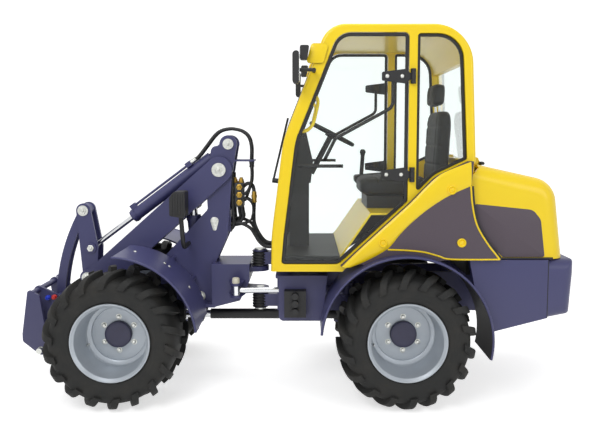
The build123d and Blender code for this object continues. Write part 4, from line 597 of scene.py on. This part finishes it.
SCREW_Y, SCREW_RISE, SCREW_RADII = 385, np.array([492, 496, 498.5, 500])[:, None], [10, 10, 8, 4]
heads = []
for angle in np.radians([101, 123, 127, 147]):
    out = np.array([np.cos(angle), 0, np.sin(angle)])
    heads += [tube((FRONT_AXLE, y, 0) + out * SCREW_RISE, SCREW_RADII) for y in (SCREW_Y, -SCREW_Y)]
mudguard_screws = skin("mudguard_screws", zinc_plate, *heads)
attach(mudguard_screws, "front_frame")

# The dust caps of the tool coupler's hydraulic plugs. Soft PVC, dip moulded, one blue and one red, pushed on
# to stubs on the left inner cheek.

CHEEK_FACE = 138
CAP_STUB = [(0, 36), (9, 36), (12, 33), (13, 26), (13, 20), (16, 19), (16, 14), (13, 13), (13, 0), (0, 0)]
for colour, shades, x, z in (
    ("blue", ("#1B36C4", "#2C4BE0"), 1346, 146), ("red", ("#C01E1E", "#DF3A2C"), 1306, 150),
):
    # A dipped skin is smooth and half matt, a little uneven where it ran.
    dip_pvc = coat("dip_pvc_" + colour, shades, 0.45, 20, Detail=2.0)[0]
    dust_cap = skin("dust_cap_" + colour, dip_pvc, (turned(CAP_STUB, (x, CHEEK_FACE, z), 24), True, False))
    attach(dust_cap, "carrier")

# The tail. A cast weight with two red lamps screwed on, a dark joint line to the skirts and an extruded rubber
# strip that the hood closes on.

# Red acrylic: glossy and deep.
# Its flutes, 12 mm apart, are painted as dark and light red bands: painted shade and painted highlight.
red_lens = coat(
    "red_lens", ("#990C15", "#D11C27"), 0.15, 12, "TexWave", sockets={"Coat Weight": 0.6}, bands_direction="Z"
)[0]
dress(red_lens, "tail_lamps")
dress(black_moulding, "engine")

seams = []
for way in (1, -1):
    seams.append(tube(np.linspace((-1709, way * 499.5, 114), (-1709, way * 499.5, 455), 3), 2.5, 8))
    seams.append(tube(np.linspace((-1442, way * 482, 462), (-1738, way * 482, 462), 3), 7, 10, (0, 0, 1)))
tail_seams = skin("tail_seams", black_moulding, *seams)
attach(tail_seams, "rear_frame")

# The hood and cab panels. Pressed and welded sheet steel, enamelled in one deep yellow: the cab stands fixed
# on the rear frame, and the hood is hinged.

# Stoved enamel with a thin clear coat: an even, strong yellow with soft highlights.
yellow_enamel, tree, surface, place = coat(
    "yellow_enamel", ("#FDD500", "#FFE000"), 0.36, 400, sockets={"Coat Weight": 0.2, "Coat Roughness": 0.08},
    Detail=3.0,
)[:4]
# Its orange peel is about 2 mm across; it is drawn at 8 mm so that it shows.
peel = add(tree, "TexNoise", {"Scale": 1000 / 8, "Detail": 1.0}, {"Vector": place})
bump = add(tree, "Bump", {"Strength": 0.03, "Distance": 0.002}, {"Height": peel.outputs["Fac"]})
tree.links.new(bump.outputs["Normal"], surface.inputs["Normal"])
dress(
    yellow_enamel,
    "cab_side_left", "cab_side_right", "cab_roof", "cab_rear_wall", "engine_hood", "seat_deck",
)

# The hood's side panels. Grey-violet plastic mouldings let into the yellow sheet on each side, with two black
# moulded buffers fixed on the hood's top.

# Grained ABS: a half-matt grey violet whose leather grain is drawn coarse at 3 mm.
grained_moulding = coat("grained_moulding", ("#483E48", "#564B55"), 0.5, 3, relief=0.12, Detail=2.0)[0]
panel = rounded([
    (-1279, 782, 10), (-1618, 747, 60), (-1664, 690, 60), (-1692, 470, 12), (-1446, 470, 10),
    (-1345, 575, 120), (-1296, 672, 150),
])
panels = [plate(panel, way * 477, way * 480.5, 1.5) for way in (1, -1)]
hood_panels = skin("hood_side_panels", grained_moulding, *panels)
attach(hood_panels, "hood")
BUFFER = [(0, 20), (10, 19), (17, 14), (19, 6), (16, 0), (0, 0)]
buffers = [(turned(BUFFER, (-1352, way * 330, 1002), 24, upright=True), True, False) for way in (1, -1)]
hood_buffers = skin("hood_buffers", black_moulding, *buffers)
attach(hood_buffers, "hood")

# The side cowls. Grey grained mouldings with a raised yellow band, thin yellow edging and dished bolt covers,
# and a black rubber gasket where the hood shuts against them.

dress(grained_moulding, "side_cowls")
COWL_FACE, BAND_CREST, EDGE_RADIUS, GASKET_RADIUS = 531.5, 11, 5, 11
UPPER = (
    (-503, 421), (-600, 517), (-740, 647), (-820, 721), (-905, 801), (-985, 885), (-1060, 952), (-1150, 995),
    (-1238, 1029),
)
LOWER = (
    (-560, 420), (-650, 458), (-769, 527), (-839, 610), (-905, 678), (-990, 750), (-1087, 816), (-1170, 858),
    (-1242, 889),
)
EDGE_REAR = ((-1240, 889), (-1251, 781), (-1279, 666), (-1339, 562), (-1415, 466))
EDGE_LOW = ((-769, 523), (-883, 518), (-978, 508), (-1060, 486), (-1122, 468), (-1280, 465), (-1415, 466))
COVER = [
    (0, 2), (9, 2), (11, 1), (11, 6), (7, 8), (0, 8), (0, 3), (14, 3), (19, 9), (23, 10), (26, 7), (26, 0),
    (0, 0),
]
upper, lower = flow(UPPER, 60)[:, None], flow(LOWER, 60)[:, None]
share = np.linspace(0, 1, 13)[None, :, None]
band = upper + (lower - upper) * share
crest = COWL_FACE + BAND_CREST * np.sin(np.pi * share[..., 0]) ** 0.45 + 0 * band[..., 0]
bands, covers = [], []
for way in (1, -1):
    grid = spot(band[..., 0], way * crest, band[..., 1])
    ends = grid[[0, -1]].mean(1, keepdims=True) + 0 * grid[:2]
    bands.append((np.concatenate([ends[:1], grid, ends[1:]]), False, True))
    bands += [strung(line, way * 532, EDGE_RADIUS, 8) for line in (EDGE_REAR, EDGE_LOW)]
    for x, z, y in ((-1130, 868, 541), (-741, 563, 541), (-1193, 563, 532)):
        covers.append((turned(COVER, (x, way * y, z), 32, way), True, False))
shut_line = [(x - 11, z - 2) for x, z in EDGE_REAR]
gaskets = [strung(shut_line, way * 513, GASKET_RADIUS, 10) for way in (1, -1)]
hood_gaskets = skin("hood_gaskets", black_moulding, *gaskets)
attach(hood_gaskets, "rear_frame")
cowl_bands = skin("cowl_bands", yellow_enamel, *bands, *covers)
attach(cowl_bands, "rear_frame")

# The windows. Flat and curved panes of tempered glass with a faint green tint, set in black extruded rubber
# that grips the edges of the cab's openings.

# Tempered glass, clean with a trace of film. Both faces of a pane mirror the white paper, so the IOR is taken
# below glass's 1.5 to keep the cab's inside dark.
safety_glass = coat(
    "safety_glass", ("#F6FAF9",), (0.0, 0.05), 250, sockets={"Transmission Weight": 1.0, "IOR": 1.3},
    Detail=2.0,
)[0]
dress(safety_glass, "cab_windows", "door_glass_left", "door_glass_right")
# EPDM rubber: matt black, dulled in patches.
seal_rubber = coat("seal_rubber", ("#141415",), (0.45, 0.65), 10, Detail=2.0)[0]
DOOR = rounded([
    (-155, 429, 20), (-171, 611, 40), (-238, 1150, 450), (-482, 1760, 110), (-887, 1760, 30), (-887, 797, 20),
    (-490, 429, 60),
])
QUARTER = rounded([
    (-933, 1755, 20), (-1190, 1755, 150), (-1227, 1040, 15), (-1041, 952, 150), (-933, 842, 15),
])
SCREEN_EDGE = (
    (-103, 474), (-109, 609), (-143, 880), (-173, 1110), (-199, 1215), (-258, 1370), (-327, 1545),
    (-384, 1692),
)
SCREEN_Y = 436


def seal(outline, width, back, face):
    """A rubber strip round an outline: a flat section with rounded face edges, closed both ways."""
    way = np.sign(face - back)
    inner = inset(outline, width)
    rings = np.stack([outline, outline, inset(outline, 2), inset(outline, width - 2), inner, inner])
    lift = np.array([back, face - 2 * way, face, face, face - 2 * way, back])[:, None]
    return spot(rings[..., 0], lift, rings[..., 1]), True, True


for side, way in (("left", 1), ("right", -1)):
    door_seal = skin("door_seal_" + side, seal_rubber, seal(inset(DOOR, 3), 19, way * 470, way * 486))
    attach(door_seal, "door_" + side)
seals = [seal(inset(QUARTER, 0.6), 17, way * 457, way * 476) for way in (1, -1)]
seals += [strung(SCREEN_EDGE, y, 9, 10) for y in (SCREEN_Y, -SCREEN_Y)]
window_seals = skin("window_seals", seal_rubber, *seals)
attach(window_seals, "rear_frame")

# The doors' hinge arms, latch bars and bent pull bars. Black-coated steel strip and tube, clamped to the panes
# with zinc-plated button screws through holes in the glass.

dress(black_moulding, "door_hardware_left", "door_hardware_right", "door_hinges")
SCREW = [(0, 6), (6, 6), (10, 3.5), (12, 0), (0, 0)]
for side, way in (("left", 1), ("right", -1)):
    screws = [
        (turned(SCREW, (x, way * 504, z), 16, way), True, False) for z in (953, 1512) for x in (-760, -845)
    ]
    fittings = skin("door_fittings_" + side, zinc_plate, *screws)
    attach(fittings, "door_" + side)

# The inside of the cab. Black moulded dash, console and mat, a yellow enamelled grab handle of bent tube on
# each front pillar, and a moulded knob on the control lever.

dress(black_moulding, "cab_floor", "seat_stand", "dashboard")
RAIL = ((-306, 1420), (-345, 1412), (-369, 1376), (-358, 1310), (-338, 1240), (-300, 1206), (-252, 1198))
rails = [strung(RAIL, way * 430, 10) for way in (1, -1)]
grab_handles = skin("grab_handles", yellow_enamel, *rails)
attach(grab_handles, "rear_frame")
KNOB = [(0, 46), (12, 44), (19, 36), (21, 24), (16, 8), (14, 0), (0, 0)]
knob = (turned(KNOB, (-700, -345, 1036), 24, upright=True), True, False)
lever_knob = skin("lever_knob", black_moulding, knob)
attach(lever_knob, "rear_frame")

# The steering wheel. A foam-covered rim on three steel spokes and a round boss, pressed on to its column and
# square to it.

COLUMN_RUN, COLUMN_RISE, RIM_RADIUS, RIM_GRIP = -121, 232, 150, 13
column = np.array([COLUMN_RUN, 0, COLUMN_RISE]) / math.hypot(COLUMN_RUN, COLUMN_RISE)
side_way = np.array([0.0, 1.0, 0.0])
up_way = np.cross(column, side_way)
boss = np.array([-456, 0, 1164])
grip = boss + 26 * column


def about_column(turn, radius):
    """A point in the wheel's plane: the hub's centre + r (s cos t + u sin t)."""
    return grip + radius * (side_way * np.cos(turn)[..., None] + up_way * np.sin(turn)[..., None])


turn = np.linspace(0, 2 * np.pi, 64, endpoint=False)
roll = np.linspace(0, 2 * np.pi, 14, endpoint=False)[None, :, None]
out = (about_column(turn, 1) - grip)[:, None]
rim = about_column(turn, RIM_RADIUS)[:, None] + RIM_GRIP * (out * np.cos(roll) + column * np.sin(roll))
spokes = [(spot(rim[..., 0], rim[..., 1], rim[..., 2]), True, True)]
for angle in np.radians([90, 210, 330]):
    ray = about_column(np.full(4, angle), np.array([30, 70, 110, 142])[:, None])
    spokes.append(tube(ray, 8, 10, column))
spokes.append(tube(boss + column * np.array([0, 4, 24, 32])[:, None], np.array([34, 38, 38, 30]), 32))
steering = skin("steering_wheel_rim", black_moulding, *spokes)
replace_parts(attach(steering, "rear_frame"), "steering_wheel")

# The mirrors, work lamps and wiper. Black moulded housings on black arms, with silvered glass and clear lenses
# clipped in, and the lamps on yellow sheet brackets screwed to the pillars.

dress(black_moulding, "cab_fittings", "cab_lamps")
# Silvered glass: a sharp mirror under a trace of film.
mirror_silver = coat(
    "mirror_silver", ("#E6EAEC",), (0.01, 0.06), 83.33, sockets={"Metallic": 1.0}, Detail=2.0
)[0]
bracket = rounded([(-300, 1585, 15), (-330, 1696, 20), (-430, 1696, 20), (-398, 1585, 15)])
glasses, lamp_faces, brackets = [], [], []
for way in (1, -1):
    near, far = way * 568, way * 642
    glass = rounded([(near, 1470, 16), (near, 1627, 16), (far, 1627, 16), (far, 1470, 16)])
    glasses.append(plate(glass, -261, -264, 1, True))
    face = rounded([(way * 500, 1608, 8), (way * 500, 1672, 8), (way * 544, 1672, 8), (way * 544, 1608, 8)])
    lamp_faces.append(plate(face, -267, -263, 1.5, True))
    brackets.append(plate(bracket, way * 489.7, way * 503.5, 2))
mirror_glass = skin("mirror_glass", mirror_silver, *glasses)
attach(mirror_glass, "rear_frame")
work_lenses = skin("work_lamp_lenses", clear_lens, *lamp_faces)
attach(work_lenses, "rear_frame")
lamp_brackets = skin("work_lamp_brackets", yellow_enamel, *brackets)
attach(lamp_brackets, "rear_frame")

# The seat. Black leathercloth over foam on a suspension box: a crowned cushion, a backrest and a headrest on
# two chromed posts, sewn with seams and filled tight.

# Leathercloth: PVC on a knit, matt black, with an embossed hide grain drawn coarse at 6 mm.
seat_vinyl = coat("seat_vinyl", ("#0F0F10", "#1C1C1E"), 0.6, 6, "TexVoronoi", "Distance", relief=0.2)[0]


def pad(front, rear, half, low, high, lean=0.0, crown=0.0, power=6.0):
    """A foam block as a superellipsoid: signed 2/p powers of sine and cosine on each axis, leaned, crowned."""
    u = np.linspace(-np.pi / 2, np.pi / 2, 65)[:, None]
    v = np.linspace(0, 2 * np.pi, 128, endpoint=False)[None]
    wave = np.stack(np.broadcast_arrays(np.cos(u), np.sin(u), np.cos(v), np.sin(v)))
    ring, rise, ahead, aside = np.sign(wave) * np.abs(wave) ** (2 / power)
    x, y = ring * ahead, ring * aside
    z = (low + high) / 2 + rise * (high - low) / 2 + crown * np.maximum(rise, 0) * (1 - x**2) * (1 - y**2)
    return spot((front + rear) / 2 + x * (front - rear) / 2 + lean * (z - low), y * half, z)


VOXEL, PRESSURE, STEPS, SWELL = 0.006, 4.0, 20, 0.005
SEAM_WIDTH, SEAM_DEPTH = 0.007, 0.006


def upholster(name, form, facing, seams):
    """Cloth over foam: the form is remeshed, blown up as cloth, kept near its start and drawn in at seams."""
    piece = skin(name, seat_vinyl, (form, False, True))
    voxels = piece.modifiers.new("voxels", "REMESH")
    voxels.mode = "VOXEL"
    voxels.voxel_size = VOXEL
    remeshed = piece.evaluated_get(bpy.context.evaluated_depsgraph_get())
    piece.data = bpy.data.meshes.new_from_object(remeshed)
    piece.modifiers.clear()
    mesh = piece.data
    start = np.empty(3 * len(mesh.vertices))
    mesh.vertices.foreach_get("co", start)
    filling = piece.modifiers.new("filling", "CLOTH")
    filling.settings.use_pressure = True
    filling.settings.uniform_pressure_force = PRESSURE
    filling.settings.effector_weights.gravity = 0.0
    for step in range(1, STEPS + 1):
        bpy.context.scene.frame_set(step)
    blown = piece.evaluated_get(bpy.context.evaluated_depsgraph_get())
    end = np.empty_like(start)
    blown.data.vertices.foreach_get("co", end)
    piece.modifiers.clear()
    bpy.context.scene.frame_set(1)
    start, shift = start.reshape(-1, 3), (end - start).reshape(-1, 3)
    far = np.linalg.norm(shift, axis=1, keepdims=True)
    points = start + shift * np.minimum(1, SWELL / np.maximum(far, 1e-9))
    mesh.vertices.foreach_set("co", points.ravel())
    mesh.update()
    normal = np.empty(3 * len(points))
    mesh.vertices.foreach_get("normal", normal)
    normal = normal.reshape(-1, 3)
    sewn = sum(np.exp(-(((points[:, axis] - at) / SEAM_WIDTH) ** 2)) for axis, at in seams)
    points = points - normal * (SEAM_DEPTH * np.minimum(sewn, 1) * (normal[:, facing] > 0.3))[:, None]
    mesh.vertices.foreach_set("co", points.ravel())
    mesh.materials.clear()
    mesh.materials.append(seat_vinyl)
    mesh.polygons.foreach_set("use_smooth", np.ones(len(mesh.polygons), bool))
    mesh.update()
    finer = piece.modifiers.new("finer", "SUBSURF")
    finer.levels = 1
    finer.render_levels = 1
    return piece


CUSHION_SEAMS = ((1, -0.15), (1, 0.15), (0, -0.545))
BACK_SEAMS = ((1, -0.14), (1, 0.14), (2, 1.40), (2, 1.52), (2, 1.64))
HEAD_SEAMS = ((1, 0.0),)
for name, form, facing, seams, node in (
    ("seat_pad", pad(-634, -1083, 232, 807, 908, crown=9.0), 2, CUSHION_SEAMS, "seat_cushion"),
    ("seat_back", pad(-1098, -1176, 222, 824, 1333, lean=-0.05), 0, BACK_SEAMS, "seat_backrest"),
    ("seat_head", pad(-1096, -1172, 117, 1368, 1498, lean=-0.05), 0, HEAD_SEAMS, "seat_backrest"),
):
    piece = upholster(name, form, facing, seams)
    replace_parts(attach(piece, "rear_frame"), node)
posts = [tube(np.linspace((-1152, y, 1322), (-1146, y, 1380), 3), 8) for y in (60, -60)]
head_posts = skin("headrest_posts", polished_chrome, *posts)
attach(head_posts, "rear_frame")
